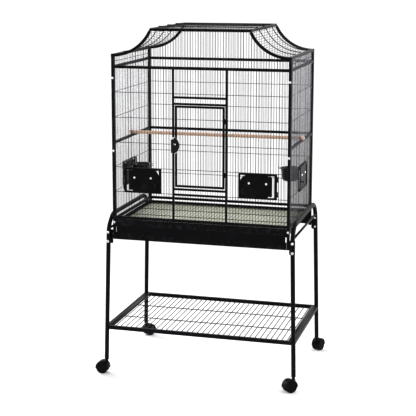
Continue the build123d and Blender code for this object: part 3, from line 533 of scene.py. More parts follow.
def feeder_cut(centre):
    """The opening inside a feeder's border, as a part of the wall without wire."""
    half = FEEDER_W / 2 - 5
    return (centre - half, centre + half, FEEDER_BOTTOM + 5, FEEDER_BOTTOM + FEEDER_H - 5)


def feeder_border(bm, place, centre, hand):
    """The bar round a feeder's opening, with the eyes and pins of its hinge."""
    half = FEEDER_W / 2
    ring_frame(bm, place, centre - half, centre + half, FEEDER_BOTTOM, FEEDER_BOTTOM + FEEDER_H,
               6.0, 6.0, 0.0, 2.2)
    pin = centre + hand * (half + 3.5)
    upward = place(0, 1, 0) - place(0, 0, 0)
    for z in (FEEDER_MID - FEEDER_KNUCKLE, FEEDER_MID + FEEDER_KNUCKLE):
        for low in (z - 10.2, z + 6.2):
            mid = low + 2
            rod(bm, place(pin, low, FEEDER_N), place(pin, low + 4, FEEDER_N), 2.9, 16)
            tube(bm, place(pin, mid, 7.0), place(pin, mid, -2.6), 5.4, 4.0, upward, 0.9)
            tube(bm, place(pin + hand * 2.4, mid, 0), place(pin - hand * 5.5, mid, 0), 4.0, 5.6, r=0.9)
        rod(bm, place(pin, z - 11.4, FEEDER_N), place(pin, z + 11.4, FEEDER_N), 1.5, 12, 0.5)


def build_front_panel():
    bm = bmesh.new()
    inner, jamb = HALF_W - HALF_P, MULLION + RAIL / 2
    for side in (-1, 1):
        upright_tube(bm, front, side * HALF_W, BASE_BOTTOM, POST_TOP - HALF_P)
        upright_tube(bm, front, side * MULLION, BASE_TOP - 0.5, EAVE - HALF_P + 0.5, RAIL)
    level_tube(bm, front, -inner, inner, EAVE)
    level_tube(bm, front, -inner, inner, BASE_TOP - HALF_P)
    for z in RAILS:
        level_tube(bm, front, -MULLION + 4.6, MULLION - 4.6, z, RAIL)
    cuts = [feeder_cut(-FRONT_FEEDER_U), feeder_cut(FRONT_FEEDER_U)]
    wire_field(bm, front, -inner, -jamb, BASE_TOP, EAVE - HALF_P, LEVELS, cut=cuts)
    wire_field(bm, front, jamb, inner, BASE_TOP, EAVE - HALF_P, LEVELS, cut=cuts)
    wire_field(bm, front, -jamb + RAIL, jamb - RAIL, BASE_TOP, RAILS[0] - RAIL / 2, ())
    wire_field(bm, front, -jamb + RAIL, jamb - RAIL, RAILS[3] + RAIL / 2, EAVE - HALF_P, LEVELS)
    for hand in (-1, 1):
        feeder_border(bm, front, hand * FRONT_FEEDER_U, hand)
    for z in HINGE_Z:
        for low in (z - 12.2, z + 6.2):
            rod(bm, front(HINGE_U, low, HINGE_N), front(HINGE_U, low + 6, HINGE_N), 3.5, 20, 0.4)
            plate(bm, box_outline(118.6, 124.4, low, low + 6, 0.8), front, 4.4, 9.4)
    emit(bm, "front_panel_welded", "cage", ["front_panel"], "powder_coat")


def build_rear_panel():
    bm = bmesh.new()
    inner = HALF_W - HALF_P
    for side in (-1, 1):
        upright_tube(bm, rear, side * HALF_W, BASE_BOTTOM, POST_TOP - HALF_P)
    level_tube(bm, rear, -inner, inner, EAVE)
    for z in (BOTTOM_RAIL_Z, MID_RAIL_Z):
        level_tube(bm, rear, -inner, inner, z, MID)
    wire_field(bm, rear, -inner, inner, BOTTOM_RAIL_Z + MID / 2, EAVE - HALF_P, LEVELS[:2] + LEVELS[3:])
    emit(bm, "rear_panel_welded", "cage", ["rear_panel"], "powder_coat")


def build_side_panel(name, place):
    bm = bmesh.new()
    half = HALF_D - HALF_P
    inner = half - RAIL
    for side in (-1, 1):
        u = side * (half - RAIL / 2)
        tube(bm, place(u, BOTTOM_RAIL_Z - MID / 2), place(u, POST_TOP), RAIL, POST,
             place(0, 0, 1) - place(0, 0, 0))
    for z in (BOTTOM_RAIL_Z, MID_RAIL_Z):
        level_tube(bm, place, -inner, inner, z, MID)
    level_tube(bm, place, -inner, inner, EAVE)
    level_tube(bm, place, -half, half, POST_TOP)
    feeder_border(bm, place, SIDE_FEEDER_U, 1)
    emit(bm, name + "_welded", "cage", [name], "powder_coat")

    bm = bmesh.new()
    wire_field(bm, place, -inner, inner, BOTTOM_RAIL_Z + MID / 2, EAVE - HALF_P, LEVELS[:2] + LEVELS[3:],
               True, [feeder_cut(SIDE_FEEDER_U)])
    wire_field(bm, place, -inner, inner, EAVE + HALF_P, POST_TOP - HALF_P, (EAVE + 24,), True)
    # the side wires take the lighter copy of the powder coat, a painted highlight on the same black paint
    emit(bm, name + "_wires", "cage", [], "wire_coat_painted_lit")


def on_curve(side, radius, angle):
    return side * (HALF_W - radius * sin(angle)), ARC_Z - radius * cos(angle)


def build_gable(name, place):
    bm = bmesh.new()
    normal = (place(0, 0, 1) - place(0, 0, 0)).normalized()
    points = []
    for side, order in ((-1, range(0, 19)), (1, range(18, -1, -1))):
        points += [on_curve(side, ARC_R, SWEEP * k / 18) for k in order]
    path = [(-HALF_W - HALF_P, POST_TOP)] + points + [(HALF_W + HALF_P, POST_TOP)]
    sweep(bm, [place(u, z) for u, z in path], rounded(POST, POST, 1.5), normal)
    inner, floor = HALF_W - HALF_P, EAVE + HALF_P
    count = gap_count(2 * inner)
    for k in range(1, count):
        u = -inner + 2 * inner * k / count
        top = ROOF_TOP if abs(u) < ROOF_HALF else ARC_Z - sqrt(ARC_R**2 - (HALF_W - abs(u)) ** 2)
        rod(bm, place(u, floor - 0.8), place(u, top - 4), WIRE_R, 10, 0.1)
    emit(bm, name + "_welded", "cage", [name], "powder_coat")


def build_roof():
    half = HALF_D - HALF_P
    rods = (-HALF_D / 2, 0.0, HALF_D / 2)
    bm = bmesh.new()
    for side in (-1, 1):
        tube(bm, vec(side * ROOF_HALF, -half, ROOF_TOP), vec(side * ROOF_HALF, half, ROOF_TOP), POST)
    inner = ROOF_HALF - HALF_P
    count = gap_count(2 * inner)
    top = ROOF_TOP + HALF_P - WIRE_R
    for k in range(1, count):
        x = -inner + 2 * inner * k / count
        rod(bm, vec(x, -half, top), vec(x, half, top), WIRE_R)
        for y in rods:
            bead(bm, vec(x, y, top + 1.5), 1.6)
    for y in rods:
        rod(bm, vec(-ROOF_HALF - 5, y, top + 2.9), vec(ROOF_HALF + 5, y, top + 2.9), 1.9, 12)
    emit(bm, "roof_top_welded", "cage", ["roof_top"], "powder_coat")
    for name, side in (("roof_left", -1), ("roof_right", 1)):
        bm = bmesh.new()
        bar_r = ARC_R - HALF_P + WIRE_R
        count = gap_count(ARC_R * SWEEP)
        for k in range(1, count):
            x, z = on_curve(side, bar_r, SWEEP * k / count)
            rod(bm, vec(x, -half, z), vec(x, half, z), WIRE_R)
            for y in rods:
                x2, z2 = on_curve(side, bar_r - 1.5, SWEEP * k / count)
                bead(bm, vec(x2, y, z2), 1.6)
        first, last = asin((HALF_P - 1) / bar_r), asin((HALF_W - ROOF_HALF - HALF_P) / bar_r)
        for y in rods:
            path = []
            for k in range(25):
                x, z = on_curve(side, bar_r - 2.9, first + (last - first) * k / 24)
                path.append(vec(x, y, z))
            sweep(bm, path, circle(1.9, 12), Vector((0, 1, 0)))
        emit(bm, name + "_welded", "cage", [name], "powder_coat")


# ------------------------------------------------------------------ main door
def build_main_door():
    bm = bmesh.new()
    low, high, out = DOOR_BOTTOM - RAIL / 2, DOOR_TOP + RAIL / 2, STILE + RAIL / 2
    ring_frame(bm, front, -out, out, low, high, RAIL, RAIL, 0.0)
    inner = STILE - RAIL / 2
    wire_field(bm, front, -inner, inner, DOOR_BOTTOM + RAIL / 2, DOOR_TOP - RAIL / 2, LEVELS)
    for z in HINGE_Z:
        rod(bm, front(HINGE_U, z - 6, HINGE_N), front(HINGE_U, z + 6, HINGE_N), 3.5, 20, 0.4)
        plate(bm, box_outline(106, 120, z - 6, z + 6, 1.6), front, 5.6, 8.0)
        plate(bm, box_outline(106, 113.6, z - 6, z + 6, 1.2), front, 4.4, 6.0)
    emit(bm, "main_door_welded", "main_door", ["main_door"], "powder_coat")
    bm = bmesh.new()
    for z in HINGE_Z:
        rod(bm, front(HINGE_U, z - 13, HINGE_N), front(HINGE_U, z + 13, HINGE_N), 1.5, 14)
        for end in (-1, 1):
            lathe(bm, front(HINGE_U, z + end * 12.4, HINGE_N), Vector((0, 0, end)),
                  [(2.3, 0), (2.6, 0.3), (2.6, 1.0), (2.0, 1.8), (0.8, 2.1)], 24)
    emit(bm, "door_hinge_rivets", "cage", ["door_hinge_pins"], "chrome_fasteners")


def build_latch():
    back = RAIL / 2 + 0.45
    out = (front(0, 0, 1) - front(0, 0, 0)).normalized()
    outer = -134
    bm = bmesh.new()
    plate(bm, box_outline(outer, -112, LATCH_Z + 24, LATCH_Z + 37, 2.0), front, back, back + 1.8)
    plate(bm, box_outline(outer, -107, LATCH_Z - 36, LATCH_Z + 26, 2.0), front, back, back + 1.6)
    plate(bm, box_outline(-114.2, -106, LATCH_Z - 34, LATCH_Z + 34, 1.2), front, 4.6, back + 0.4)
    screw_head(bm, front(-122, LATCH_Z + 31, back + 1.8), out, 4.2, 2.4)
    emit(bm, "latch_backplate", "main_door", ["latch_plate"], "chrome_fasteners")

    bm = bmesh.new()
    arc = []
    for k in range(21):
        a = radians(-74 + 148 * k / 20)
        arc.append((-126 + 34 * cos(a), LATCH_Z + 37.4 * sin(a)))
    shape = [(-131, LATCH_Z - 33)] + arc + [(-118, LATCH_Z + 28), (-131, LATCH_Z + 26)]
    plate(bm, shape, front, back + 1.8, back + 6.0, 0.5)
    plate(bm, inset(shape if area(shape) > 0 else shape[::-1], 2.4), front, back + 5.6, back + 9.0, 1.1)
    for z in (LATCH_Z - 27, LATCH_Z + 24):
        lathe(bm, front(-116, z, back + 8.8), out, [(3.4, 0), (3.4, 0.3), (2.6, 0.9), (0.5, 1.1)], 24)
    emit(bm, "latch_case", "main_door", ["latch_body"], "black_plastic")

    bm = bmesh.new()
    half_moon = []
    for k in range(25):
        a = radians(-82 + 164 * k / 24)
        half_moon.append((PIVOT_U - 6 + 15 * cos(a), PIVOT_Z - 12 + 26 * sin(a)))
    plate(bm, half_moon, front, back + 9.3, back + 12.6, 0.9)
    lathe(bm, front(PIVOT_U, PIVOT_Z, back + 9.3), out, [(8, 0), (8, 4.0), (7.2, 5.0), (5.4, 5.2)], 40)
    plate(bm, box_outline(PIVOT_U - 3.2, PIVOT_U + 1.6, PIVOT_Z - 34, PIVOT_Z + 11, 2.3), front,
          back + 12.0, back + 16.6, 1.6)
    emit(bm, "latch_knob", "door_latch", ["latch_lever"], "black_plastic")

    bm = bmesh.new()
    screw_head(bm, front(PIVOT_U, PIVOT_Z, back + 14.0), out, 4.6, 2.6)
    emit(bm, "latch_centre_screw", "main_door", ["latch_screw"], "chrome_fasteners")


# ------------------------------------------------------------------ feeders
def build_feeder(name, wall, centre, hand):
    def place(x, z, n=0.0):
        return wall(centre + hand * x, z, n)

    out = (wall(0, 0, 1) - wall(0, 0, 0)).normalized()
    along = (wall(1, 0, 0) - wall(0, 0, 0)).normalized()
    half, low, high = FEEDER_W / 2, FEEDER_BOTTOM, FEEDER_BOTTOM + FEEDER_H
    bar, mitre = 8.6, 4.5
    bm = bmesh.new()
    ring_frame(bm, place, -half, half, low, high, 9.0, 6.0, FEEDER_N, 1.6)
    corner = 31.0
    arc = [(-half + bar + corner - corner * cos(a), high - bar - corner + corner * sin(a))
           for a in [radians(90 * k / 14) for k in range(15)]]
    edge, turn, slot = half - 21.0, half - 40.0, 12.6
    sheet = arc + [(turn, high - bar), (turn, high - slot), (edge, high - slot), (edge, low + slot),
                   (turn, low + slot), (turn, low + bar), (-half + bar, low + bar)]
    plate(bm, sheet, place, 6.0, FEEDER_N, 0.25)
    plate(bm, box_outline(half - 12.0, half - bar, low + bar, high - bar, 0.6), place, 6.0, FEEDER_N, 0.2)
    pin = half + 3.5
    for z in (FEEDER_MID - FEEDER_KNUCKLE, FEEDER_MID + FEEDER_KNUCKLE):
        rod(bm, place(pin, z - 5, FEEDER_N), place(pin, z + 5, FEEDER_N), 1.9, 20, 0.4)
        plate(bm, box_outline(half - 2, pin - 0.5, z - 5, z + 5, 0.8), place, 6.6, 8.0, 0.2)
    for x in (-half + mitre, half - mitre):
        for z in (low + mitre, high - mitre):
            bead(bm, place(x, z, 9.2), 1.8)
    emit(bm, name + "_door_welded", name, [name + "_door"], "powder_coat")

    bm = bmesh.new()
    plate(bm, box_outline(-46, 46, 927, 961, 3.0), place, 4.5, 6.0, 0.25)
    ring_z = CUP_RIM - 3.8
    sweep(bm, hoop(place(0, ring_z, CUP_N), along, out, RING_R, 64), circle(1.5, 12), UP, loop=True)
    reach = CUP_N + sqrt(RING_R**2 - STRAP_X**2)
    for x in (-STRAP_X, STRAP_X):
        arm = [place(x, ring_z, reach), place(x, ring_z, -4), place(x, ring_z - 0.8, 1.5),
               place(x, ring_z - 3, 4.4), place(x, ring_z - 8, 4.6)]
        sweep(bm, arm, circle(1.4, 10))
    hook = place(0, ring_z, CUP_N - 52.2)
    sweep(bm, hoop(hook, out, UP, 5, 24), circle(1.2, 8), along, loop=True)
    emit(bm, name + "_ring_welded", name, [name + "_cup_ring"], "powder_coat")

    bm = bmesh.new()
    rim = CUP_RIM
    profile = [(0.0, rim - 62)]
    profile += [(22 + 16 * sin(radians(a)), rim - 46 - 16 * cos(radians(a))) for a in range(0, 91, 10)]
    profile += [(41.8, rim - 2.6), (45.6, rim - 2.2), (46, rim - 1.2), (45.4, rim - 0.2), (44, rim),
                (41, rim - 0.6), (40, rim - 2)]
    profile += [(22 + 14 * sin(radians(a)), rim - 46 - 14 * cos(radians(a))) for a in range(90, -1, -10)]
    profile += [(0.0, rim - 60)]
    lathe(bm, place(0, 0, CUP_N), UP, profile, 64)
    for z, r in ((rim - 14, 41.15), (rim - 17, 40.9)):
        sweep(bm, hoop(place(0, z, CUP_N), along, out, r, 64), circle(0.7, 8), UP, loop=True)
    emit(bm, name + "_cup_moulded", name + "_cup", [name + "_cup"], "cup_plastic", 50)

    bm = bmesh.new()
    dome = [(5.4, 0), (5.7, 0.4), (5.5, 1.1), (4.6, 2.3), (3.0, 3.2), (1.2, 3.5)]
    for x in (-STRAP_X, STRAP_X):
        lathe(bm, place(x, STRAP_Z, FEEDER_N), out, dome, 40)
        lathe(bm, place(x, STRAP_Z, 4.6), -out, [(5.2, 0), (5.2, 0.8), (4.4, 0.9)], 32)
        lathe(bm, place(x, STRAP_Z, 3.8), -out, [(3.9, 0), (4.1, 0.3), (4.1, 2.5), (3.6, 2.9)], 6)
        rod(bm, place(x, STRAP_Z, 2), place(x, STRAP_Z, 0), 1.9, 16, 0.4)
    emit(bm, name + "_carriage_bolts", name, [name + "_bolts"], "chrome_fasteners")

    bm = bmesh.new()
    x, z = CLIP_X, CLIP_Z
    rod(bm, place(x, z, 4.2), place(x, z, 8), 2.4, 20)
    lathe(bm, place(x, z, 7.8), out, [(6, 0), (6, 2.4), (5.2, 3.4), (2.9, 3.6), (2.6, 5), (2.6, 9.4)], 36)
    arm = [place(x, z + 1, 18.2), place(x, z - 5, 18.6), place(x, z - 10, 18.0), place(x, z - 15, 15.6)]
    sweep(bm, arm, rounded(4.6, 2.6, 1.1), along)
    emit(bm, name + "_clip_arm", name + "_clip", [name + "_clip"], "black_plastic")

    bm = bmesh.new()
    dome = [(2.2, 0), (4.2, 1.2), (4.6, 3.2), (4.4, 4.9), (3.6, 6.2), (2.0, 7.0)]
    lathe(bm, place(x, z, 16.4), out, dome, 36)
    emit(bm, name + "_clip_button", name + "_clip", [], "black_plastic")


# ------------------------------------------------------------------ base
def build_base():
    inner = HALF_W - HALF_P
    bm = bmesh.new()
    low, high = 650.0, 716.0
    plate(bm, box_outline(-inner, inner, low, high, 0.8), rear, HALF_P - SHEET, HALF_P, 0.25)
    for z in (low + SHEET / 2, high - SHEET / 2):
        tube(bm, rear(-inner, z, 2.2), rear(inner, z, 2.2), 1.2, 7.6, r=0.4)
    emit(bm, "rear_apron_folded", "cage", ["rear_apron"], "powder_coat")

    for name, side in (("left_runner", -1), ("right_runner", 1)):
        bm = bmesh.new()
        reach = HALF_D + HALF_P - 2.7
        web, upper, lower = (0.75, 713.6, 1.5, 32.2), (5.2, 717.55, 9.6, 1.5), (5.2, 701.05, 9.6, 1.5)
        for off, z, w, h in (web, upper, lower):
            x = side * (inner - off)
            prism(bm, vec(x, -reach, z), vec(x, reach, z), rounded(w, h, 0.5), UP, 0.3)
        emit(bm, name + "_rolled", "cage", [name], "powder_coat")

    bm = bmesh.new()
    face, skin_in, skin_out = inner - 0.3, HALF_P - SHEET, HALF_P
    half_x, back, forward = inner - 3.0, HALF_D - HALF_P - 2.0, -HALF_D - HALF_P + SHEET
    centre_y, half_y = (back + forward) / 2, (back - forward) / 2
    near_x, near_y = half_x - GRATE_BAR / 2, half_y - GRATE_BAR / 2
    outline = rounded(GRATE_BAR, GRATE_BAR, 1.4)
    rings = []
    for sx, sy in ((1, 1), (-1, 1), (-1, -1), (1, -1)):
        rings.append([vec(sx * (near_x + a), centre_y + sy * (near_y + a), GRATE_Z + b)
                      for a, b in outline])
    skin(bm, rings, loop=True)
    count = round(2 * (half_x - GRATE_BAR) / GRATE_PITCH)
    step = 2 * (half_x - GRATE_BAR) / count
    for k in range(1, count):
        x = -half_x + GRATE_BAR + step * k
        rod(bm, vec(x, forward + 4, GRATE_Z + 0.3), vec(x, back - 4, GRATE_Z + 0.3), WIRE_R, 10, 0.1)
        for y in GRATE_CROSS_Y:
            bead(bm, vec(x, y, GRATE_Z - 0.8), 1.15)
    for y in GRATE_CROSS_Y:
        rod(bm, vec(-half_x + 4, y, GRATE_Z - 1.6), vec(half_x - 4, y, GRATE_Z - 1.6), 1.5, 10)
    plate(bm, box_outline(-face, face, STRIP_LOW, STRIP_HIGH, 0.1), front, skin_in, skin_out, 0.08)
    emit(bm, "grate_welded", "grate", ["grate"], "powder_coat")

    bm = bmesh.new()
    half_x, floor, rim = inner - 2.5, TRAY_FLOOR, TRAY_RIM
    section = [(-12, floor, 4), (-3, floor, 5), (-0.8, floor + 0.8, 6), (0, floor + 3, 6), (0, rim - 1, 6),
               (-0.3, rim, 6), (-0.9, rim, 5), (-SHEET, rim - 1, 5), (-SHEET, floor + 4, 5),
               (-2.2, floor + 2, 5), (-4.5, floor + SHEET, 4), (-14, floor + SHEET, 4)]
    rings = []
    for grow, z, r in section:
        outline = rounded(2 * (half_x + grow), 2 * (half_y + grow), r, 6)
        rings.append([vec(x, y + centre_y, z) for x, y in outline])
    skin(bm, rings)
    emit(bm, "tray_pressed", "tray", ["tray"], "olive_tray", 50)

    bm = bmesh.new()
    notch_low, notch_high, notch = 677, 700, face - 4.6
    half_sheet = [(face, BASE_BOTTOM), (face, notch_low), (notch, notch_low), (notch, notch_high),
                  (face, notch_high), (face, TRAY_FRONT_TOP)]
    sheet = [(-face, BASE_BOTTOM)] + half_sheet + [(-u, z) for u, z in half_sheet[:0:-1]]
    plate(bm, sheet, front, skin_in, skin_out, 0.08)
    fold = box_outline(-face + 1, face - 1, BASE_BOTTOM, BASE_BOTTOM + SHEET, 0.3)
    plate(bm, fold, front, -3.6, 5.6, 0.2)
    emit(bm, "tray_front_folded", "tray", ["tray_front"], "powder_coat")


# ------------------------------------------------------------------ stand
def leg(z):
    """Half the distances between the legs at a height, across and in depth."""
    drop = (BASE_BOTTOM - z) / (BASE_BOTTOM - LEG_END)
    return tuple(t + (f - t) * drop for t, f in zip(LEG_TOP, LEG_FOOT))


def bent(points, radius, steps=16):
    """The path with its inner corners rounded."""
    path = [points[0]]
    for a, b, c in zip(points, points[1:], points[2:]):
        to_a, to_c = (a - b).normalized(), (c - b).normalized()
        half = to_a.angle(to_c) / 2
        reach = radius / (sin(half) / cos(half))
        middle = b + (to_a + to_c).normalized() * (radius / sin(half))
        start, end = b + to_a * reach - middle, b + to_c * reach - middle
        axis, turn = start.cross(end).normalized(), start.angle(end)
        for k in range(steps + 1):
            path.append(middle + Matrix.Rotation(turn * k / steps, 3, axis) @ start)
    return path + [points[-1]]


def build_stand():
    for name, side in (("left_arch", -1), ("right_arch", 1)):
        bm = bmesh.new()
        (foot_x, foot_y), (top_x, top_y) = LEG_FOOT, leg(ARCH_Z)
        foot_a, foot_b = vec(side * foot_x, -foot_y, LEG_END), vec(side * foot_x, foot_y, LEG_END)
        peak_a, peak_b = vec(side * top_x, -top_y, ARCH_Z), vec(side * top_x, top_y, ARCH_Z)
        path = bent([foot_a, peak_a, peak_b, foot_b], ARCH_BEND * MM)
        normal = (peak_a - foot_a).cross(Vector((0, 1, 0))).normalized()
        sweep(bm, path, circle(LEG_R, 32), normal)
        x, y = leg(CROSSBAR_Z)
        rod(bm, vec(side * x, -y, CROSSBAR_Z), vec(side * x, y, CROSSBAR_Z), CROSSBAR_R, 24)
        for end in (-1, 1):
            lathe(bm, vec(side * x, end * (y - LEG_R - 2.4), CROSSBAR_Z), Vector((0, end, 0)),
                  [(5.4, 0), (6.2, 0.9), (7.0, 2.2), (7.6, 4.0)], 24)
        emit(bm, name + "_bent", "cage", [name], "powder_coat", 60)

    bm = bmesh.new()
    outline = box_outline(412.9, 439.5, 622, 686.7, 3.0)
    for side, end in CORNERS:
        def ear(x, z, n, side=side, end=end):
            return vec(side * x, end * n, z)

        plate(bm, outline, ear, EAR_IN - 0.05, EAR_IN + 2.9, 0.4)
        for z in (634, 655.5, 677):
            bead(bm, ear(413.4, z, EAR_IN + 0.6), 2.2, (0.8, 0.8, 3.0))
    emit(bm, "stand_ears", "cage", ["stand_brackets"], "powder_coat")

    washer = [(6.0, 0), (6.3, 0.3), (6.2, 0.9), (5.2, 1.0)]
    nut = [(4.5, 0), (4.7, 0.3), (4.7, 3.6), (4.2, 4.0)]
    bm = bmesh.new()
    for side, end in CORNERS:
        axis = Vector((0, end, 0))
        for z in LEG_BOLT_Z:
            x, y = leg(z)
            lathe(bm, vec(side * x, end * (y + LEG_R - 0.4), z), axis, washer, 32)
            screw_head(bm, vec(side * x, end * (y + LEG_R + 0.5), z), axis, 5.0, 3.2)
            lathe(bm, vec(side * x, end * EAR_IN, z), -axis, nut, 6)
    emit(bm, "leg_bolts", "cage", ["leg_screws"], "chrome_fasteners")

    washer, seat = [(5.4, 0), (5.6, 0.2), (5.5, 0.7), (4.6, 0.8)], HALF_D + HALF_P
    bm = bmesh.new()
    for side, end in CORNERS:
        axis = Vector((0, end, 0))
        for z in PANEL_SCREW_Z:
            lathe(bm, vec(side * HALF_W, end * (seat - 0.05), z), axis, washer, 32)
            screw_head(bm, vec(side * HALF_W, end * (seat + 0.5), z), axis, 4.6, 2.9)
    emit(bm, "panel_screws", "cage", ["panel_bolts"], "chrome_fasteners")


def build_shelf():
    leg_x, leg_y = leg(SHELF_Z)
    half = SHELF_TUBE / 2
    inner_x, inner_y = leg_x - half, leg_y - half
    bm = bmesh.new()
    reach_x, reach_y = leg_x - LEG_R + 2.2, leg_y - LEG_R + 2.2
    for end in (-1, 1):
        x, y = end * leg_x, end * leg_y
        tube(bm, vec(-reach_x, y, SHELF_Z), vec(reach_x, y, SHELF_Z), SHELF_TUBE, r=2.2)
        tube(bm, vec(x, -reach_y, SHELF_Z), vec(x, reach_y, SHELF_Z), SHELF_TUBE, r=2.2)
    for side in (-1, 1):
        x, z, reach = side * (inner_x - 8.2), SHELF_Z + 3.1, inner_y + 0.5
        prism(bm, vec(x, -reach, z), vec(x, reach, z), rounded(16.0, 10.8, 2.0), UP, 0.3)
    count = round(2 * inner_x / SHELF_PITCH)
    step = 2 * inner_x / count
    cross_y, level, below = (-leg_y / 3, leg_y / 3), SHELF_Z + 0.3, SHELF_Z - 2.9
    for k in range(1, count):
        x = -inner_x + step * k
        rod(bm, vec(x, -inner_y - 0.6, level), vec(x, inner_y + 0.6, level), 2.1, 12, 0.1)
        for y in cross_y:
            bead(bm, vec(x, y, SHELF_Z - 1.2), 2.1)
    for y in cross_y:
        rod(bm, vec(-inner_x - 0.6, y, below), vec(inner_x + 0.6, y, below), 2.3, 12, 0.1)
    emit(bm, "shelf_welded", "cage", ["shelf"], "powder_coat")

    low = SHELF_Z - half + 3.2
    bm, screws = bmesh.new(), bmesh.new()
    for side, end in CORNERS:
        near_x, far_x = side * (inner_x - 1.0), side * (inner_x - 32)
        near_y, far_y = end * (inner_y - 1.0), end * (inner_y - 32)
        path = [vec(far_x, near_y, low), vec(near_x, near_y, low), vec(near_x, far_y, low)]
        sweep(bm, bent(path, 3 * MM, 6), rounded(6.0, 2.0, 0.5), UP)
        seat = vec(side * (leg_x - 30), end * (inner_y - 2.0), low)
        screw_head(screws, seat, Vector((0, -end, 0)), 2.8, 1.9)
    emit(bm, "shelf_angles", "cage", ["shelf_brackets"], "powder_coat")
    emit(screws, "shelf_rail_screws", "cage", ["shelf_screws"], "chrome_fasteners")


# ------------------------------------------------------------------ casters
# the way each caster points at rest, in degrees
TURN = {"front_left": 180.0, "front_right": 227.0, "rear_right": 72.0, "rear_left": 60.0}


def build_casters():
    plugs = bmesh.new()
    plug = [(8.6, 0), (9.8, 0.5), (10.2, 1.2), (10.1, 2.6), (8.4, 3.2), (7.8, 8), (7.6, 26)]
    cap = [(11.0, 0), (9.4, 1.6), (7.6, 3.4), (7.0, 6), (7.0, 12.5), (6.4, 13.6), (4.6, 14.2)]
    outside = [(9, 31.2), (18.0, 30.9), (21.0, 30.1), (22.3, 28.6), (22.5, 26.5)]
    inside = [(21.9, 26.5), (21.4, 28.4), (20.0, 29.2), (9, 29.3)]
    shell = [(-w, r) for w, r in outside[::-1]] + [(0, 31.3)] + outside
    shell += inside + [(0, 29.3)] + [(-w, r) for w, r in inside[::-1]]
    tyre = [(3.2, 5.2), (9, 5.2), (10, 6.0), (20, 6.0), (23.5, 5.2), (26.4, 5.4), (27.6, 6.6), (28, 9.0),
            (28, 12.2), (27.5, 12.6), (27.5, 13.4), (28, 13.8), (28, 17.0), (27.6, 19.2), (26.4, 20.5),
            (24.0, 20.9), (22.4, 20.6), (21.8, 19.4), (20.4, 18.6), (12.5, 18.6), (11.6, 19.6),
            (10.4, 20.6), (7.8, 20.9), (6.6, 20.2), (2.5, 20.0)]
    for corner, turn in TURN.items():
        side = 1 if corner.endswith("right") else -1
        end = -1 if corner.startswith("front") else 1
        foot = vec(side * 444.2, end * 296.3, 0)
        heading = Vector((cos(radians(turn)), sin(radians(turn)), 0))
        across = UP.cross(heading)
        hub = foot + heading * TRAIL * MM + UP * WHEEL_R * MM
        lathe(plugs, foot + UP * 67.3 * MM, UP, plug, 36)

        bm = bmesh.new()
        rings = []
        for k in range(29):
            a = radians(-8 + 196 * k / 28)
            radial = heading * cos(a) + UP * sin(a)
            rings.append([hub + (radial * r + across * w) * MM for w, r in shell])
        skin(bm, rings)
        angles = [radians(-25 + 230 * k / 24) for k in range(25)]
        web = [(30.2 * cos(a), 30.2 * sin(a)) for a in angles]

        def middle(x, z, n, hub=hub, heading=heading, across=across):
            return hub + (heading * x + UP * z + across * n) * MM

        plate(bm, web, middle, -4, 4, 0.8)
        lathe(bm, foot + UP * 51.5 * MM, UP, cap, 40)
        body, wheels = f"caster_{corner}", f"wheels_{corner}"
        emit(bm, f"caster_{corner}_hood", body, [f"caster_{corner}_body"], "caster_plastic", 45)

        bm = bmesh.new()
        rod(bm, foot + UP * 60 * MM, foot + UP * 90 * MM, 4.0, 24)
        emit(bm, f"caster_{corner}_stem", body, [], "chrome_fasteners")

        bm = bmesh.new()
        for way in (-1, 1):
            axis = across * way
            lathe(bm, hub, axis, tyre, 56)
            middle_of_face = hub + axis * 18.5 * MM
            for k in range(6):
                a = 2 * pi * k / 6
                radial = heading * cos(a) + UP * sin(a)
                tube(bm, middle_of_face + radial * 12 * MM, middle_of_face + radial * 21.4 * MM,
                     2.2, 2.2, axis, 0.7)
        rod(bm, hub - across * 18 * MM, hub + across * 18 * MM, 3.0, 20)
        emit(bm, f"caster_{corner}_tyres", wheels, [f"caster_{corner}_wheels"], "wheel_rubber", 45)
    emit(plugs, "leg_plugs", "cage", ["caster_sockets"], "caster_plastic")


def build_perch():
    """A round dowel with a slot cut into both faces near each end, where the wires hold it."""
    bm = bmesh.new()
    rings = []
    r, full, slot = PERCH_R, PERCH_R + 1, 4.6
    stops = [(-422, 6.9, full), (-421, r, full), (-413.8, r, full), (-413.7, r, slot), (-399.2, r, slot),
             (-399.0, r, full)]
    stops += [(x, r, full) for x in range(-380, 381, 20)]
    stops += [(-x, radius, flat) for x, radius, flat in stops[5::-1]]
    for x, radius, flat in stops:
        rings.append([vec(x, max(-flat, min(flat, y)), PERCH_Z + z) for y, z in circle(radius, 40)])
    skin(bm, rings)
    emit(bm, "perch_dowel", "cage", ["perch"], "perch_wood", 40)


build_front_panel()
build_rear_panel()
build_side_panel("left_panel", left)
build_side_panel("right_panel", right)
build_gable("front_gable", front)
build_gable("rear_gable", rear)
build_roof()
build_main_door()
build_latch()
build_feeder("front_left_feeder", front, -FRONT_FEEDER_U, -1)
build_feeder("front_right_feeder", front, FRONT_FEEDER_U, 1)
build_feeder("right_feeder", right, SIDE_FEEDER_U, 1)
build_feeder("left_feeder", left, SIDE_FEEDER_U, 1)
build_base()
build_stand()
build_shelf()
build_casters()
build_perch()


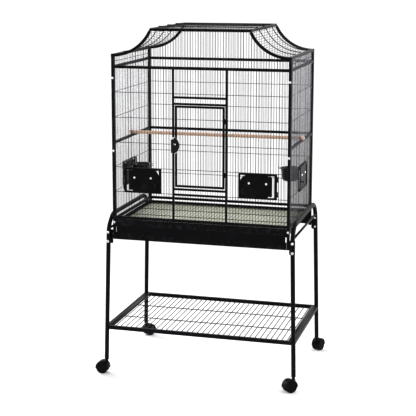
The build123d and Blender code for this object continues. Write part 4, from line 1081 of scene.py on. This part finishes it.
# ------------------------------------------------------------------ studio
def studio():
    g = Graph("studio_floor")
    color = g.ramp(g.noise(1.5), (0.925, 0.925, 0.93), (0.945, 0.945, 0.945))
    g.done(color, g.span(g.noise(20.0), 0.55, 0.7), g.bump(g.noise(90.0), 0.0005, 0.2))
    bm = bmesh.new()
    count = 48
    rings = []
    for r in (3.0, 12.0, 50.0):
        rings.append([bm.verts.new((x, y, 0)) for x, y in circle(r, count)])
    bm.faces.new(rings[0])
    for near, far in zip(rings, rings[1:]):
        for k in range(count):
            bm.faces.new((near[k - 1], far[k - 1], far[k], near[k]))
    mesh = bpy.data.meshes.new("studio_floor")
    bm.to_mesh(mesh)
    bm.free()
    mesh.materials.append(g.material)
    for face in mesh.polygons:
        face.use_smooth = True
    floor = bpy.data.objects.new("studio_floor", mesh)
    bpy.context.scene.collection.objects.link(floor)

    world = bpy.data.worlds.new("studio_world")
    bpy.context.scene.world = world
    world.use_nodes = True
    background = world.node_tree.nodes["Background"]
    background.inputs["Color"].default_value = (1.0, 1.0, 1.0, 1)
    background.inputs["Strength"].default_value = 1.16

    def light(name, place, aim, size, power, color=(1, 1, 1), spread=180):
        data = bpy.data.lights.new(name, "AREA")
        data.shape = "RECTANGLE"
        data.size, data.size_y = size
        data.energy = power
        data.color = color
        data.spread = radians(spread)
        lamp = bpy.data.objects.new(name, data)
        lamp.location = place
        lamp.rotation_euler = (Vector(aim) - Vector(place)).to_track_quat("-Z", "Y").to_euler()
        bpy.context.scene.collection.objects.link(lamp)

    light("top_softbox", (0.0, 0.6, 4.6), (0, 0.6, 0), (7.0, 5.0), 36)
    light("right_softbox", (2.6, 0.5, 1.5), (0.4, 0, 1.15), (0.9, 1.8), 10, (0.86, 0.82, 1.0), 60)
    light("left_softbox", (-3.2, 1.6, 1.4), (-0.4, 0, 1.15), (1.0, 1.8), 42, (0.95, 0.95, 1.0), 60)

    camera_data = bpy.data.cameras.new("camera")
    camera_data.lens = 102.1
    camera_data.sensor_width = 36.0
    camera_data.shift_x, camera_data.shift_y = 0.0637, -0.0796
    camera_data.clip_end = 60
    camera = bpy.data.objects.new("camera", camera_data)
    yaw, pitch, roll = radians(16.45), radians(10.08), radians(0.14)
    ahead = Vector((-sin(yaw) * cos(pitch), cos(yaw) * cos(pitch), -sin(pitch)))
    across = ahead.cross(UP).normalized()
    high = across.cross(ahead)
    turn = Matrix.Rotation(roll, 3, ahead)
    across, high = turn @ across, turn @ high
    camera.matrix_world = Matrix.Translation((1.3953, -5.2817, 1.8857)) @ Matrix(
        (across, high, -ahead)).transposed().to_4x4()
    bpy.context.scene.collection.objects.link(camera)
    bpy.context.scene.camera = camera


studio()
bpy.context.scene.view_settings.view_transform = "Standard"
bpy.context.scene.view_settings.gamma = 0.85
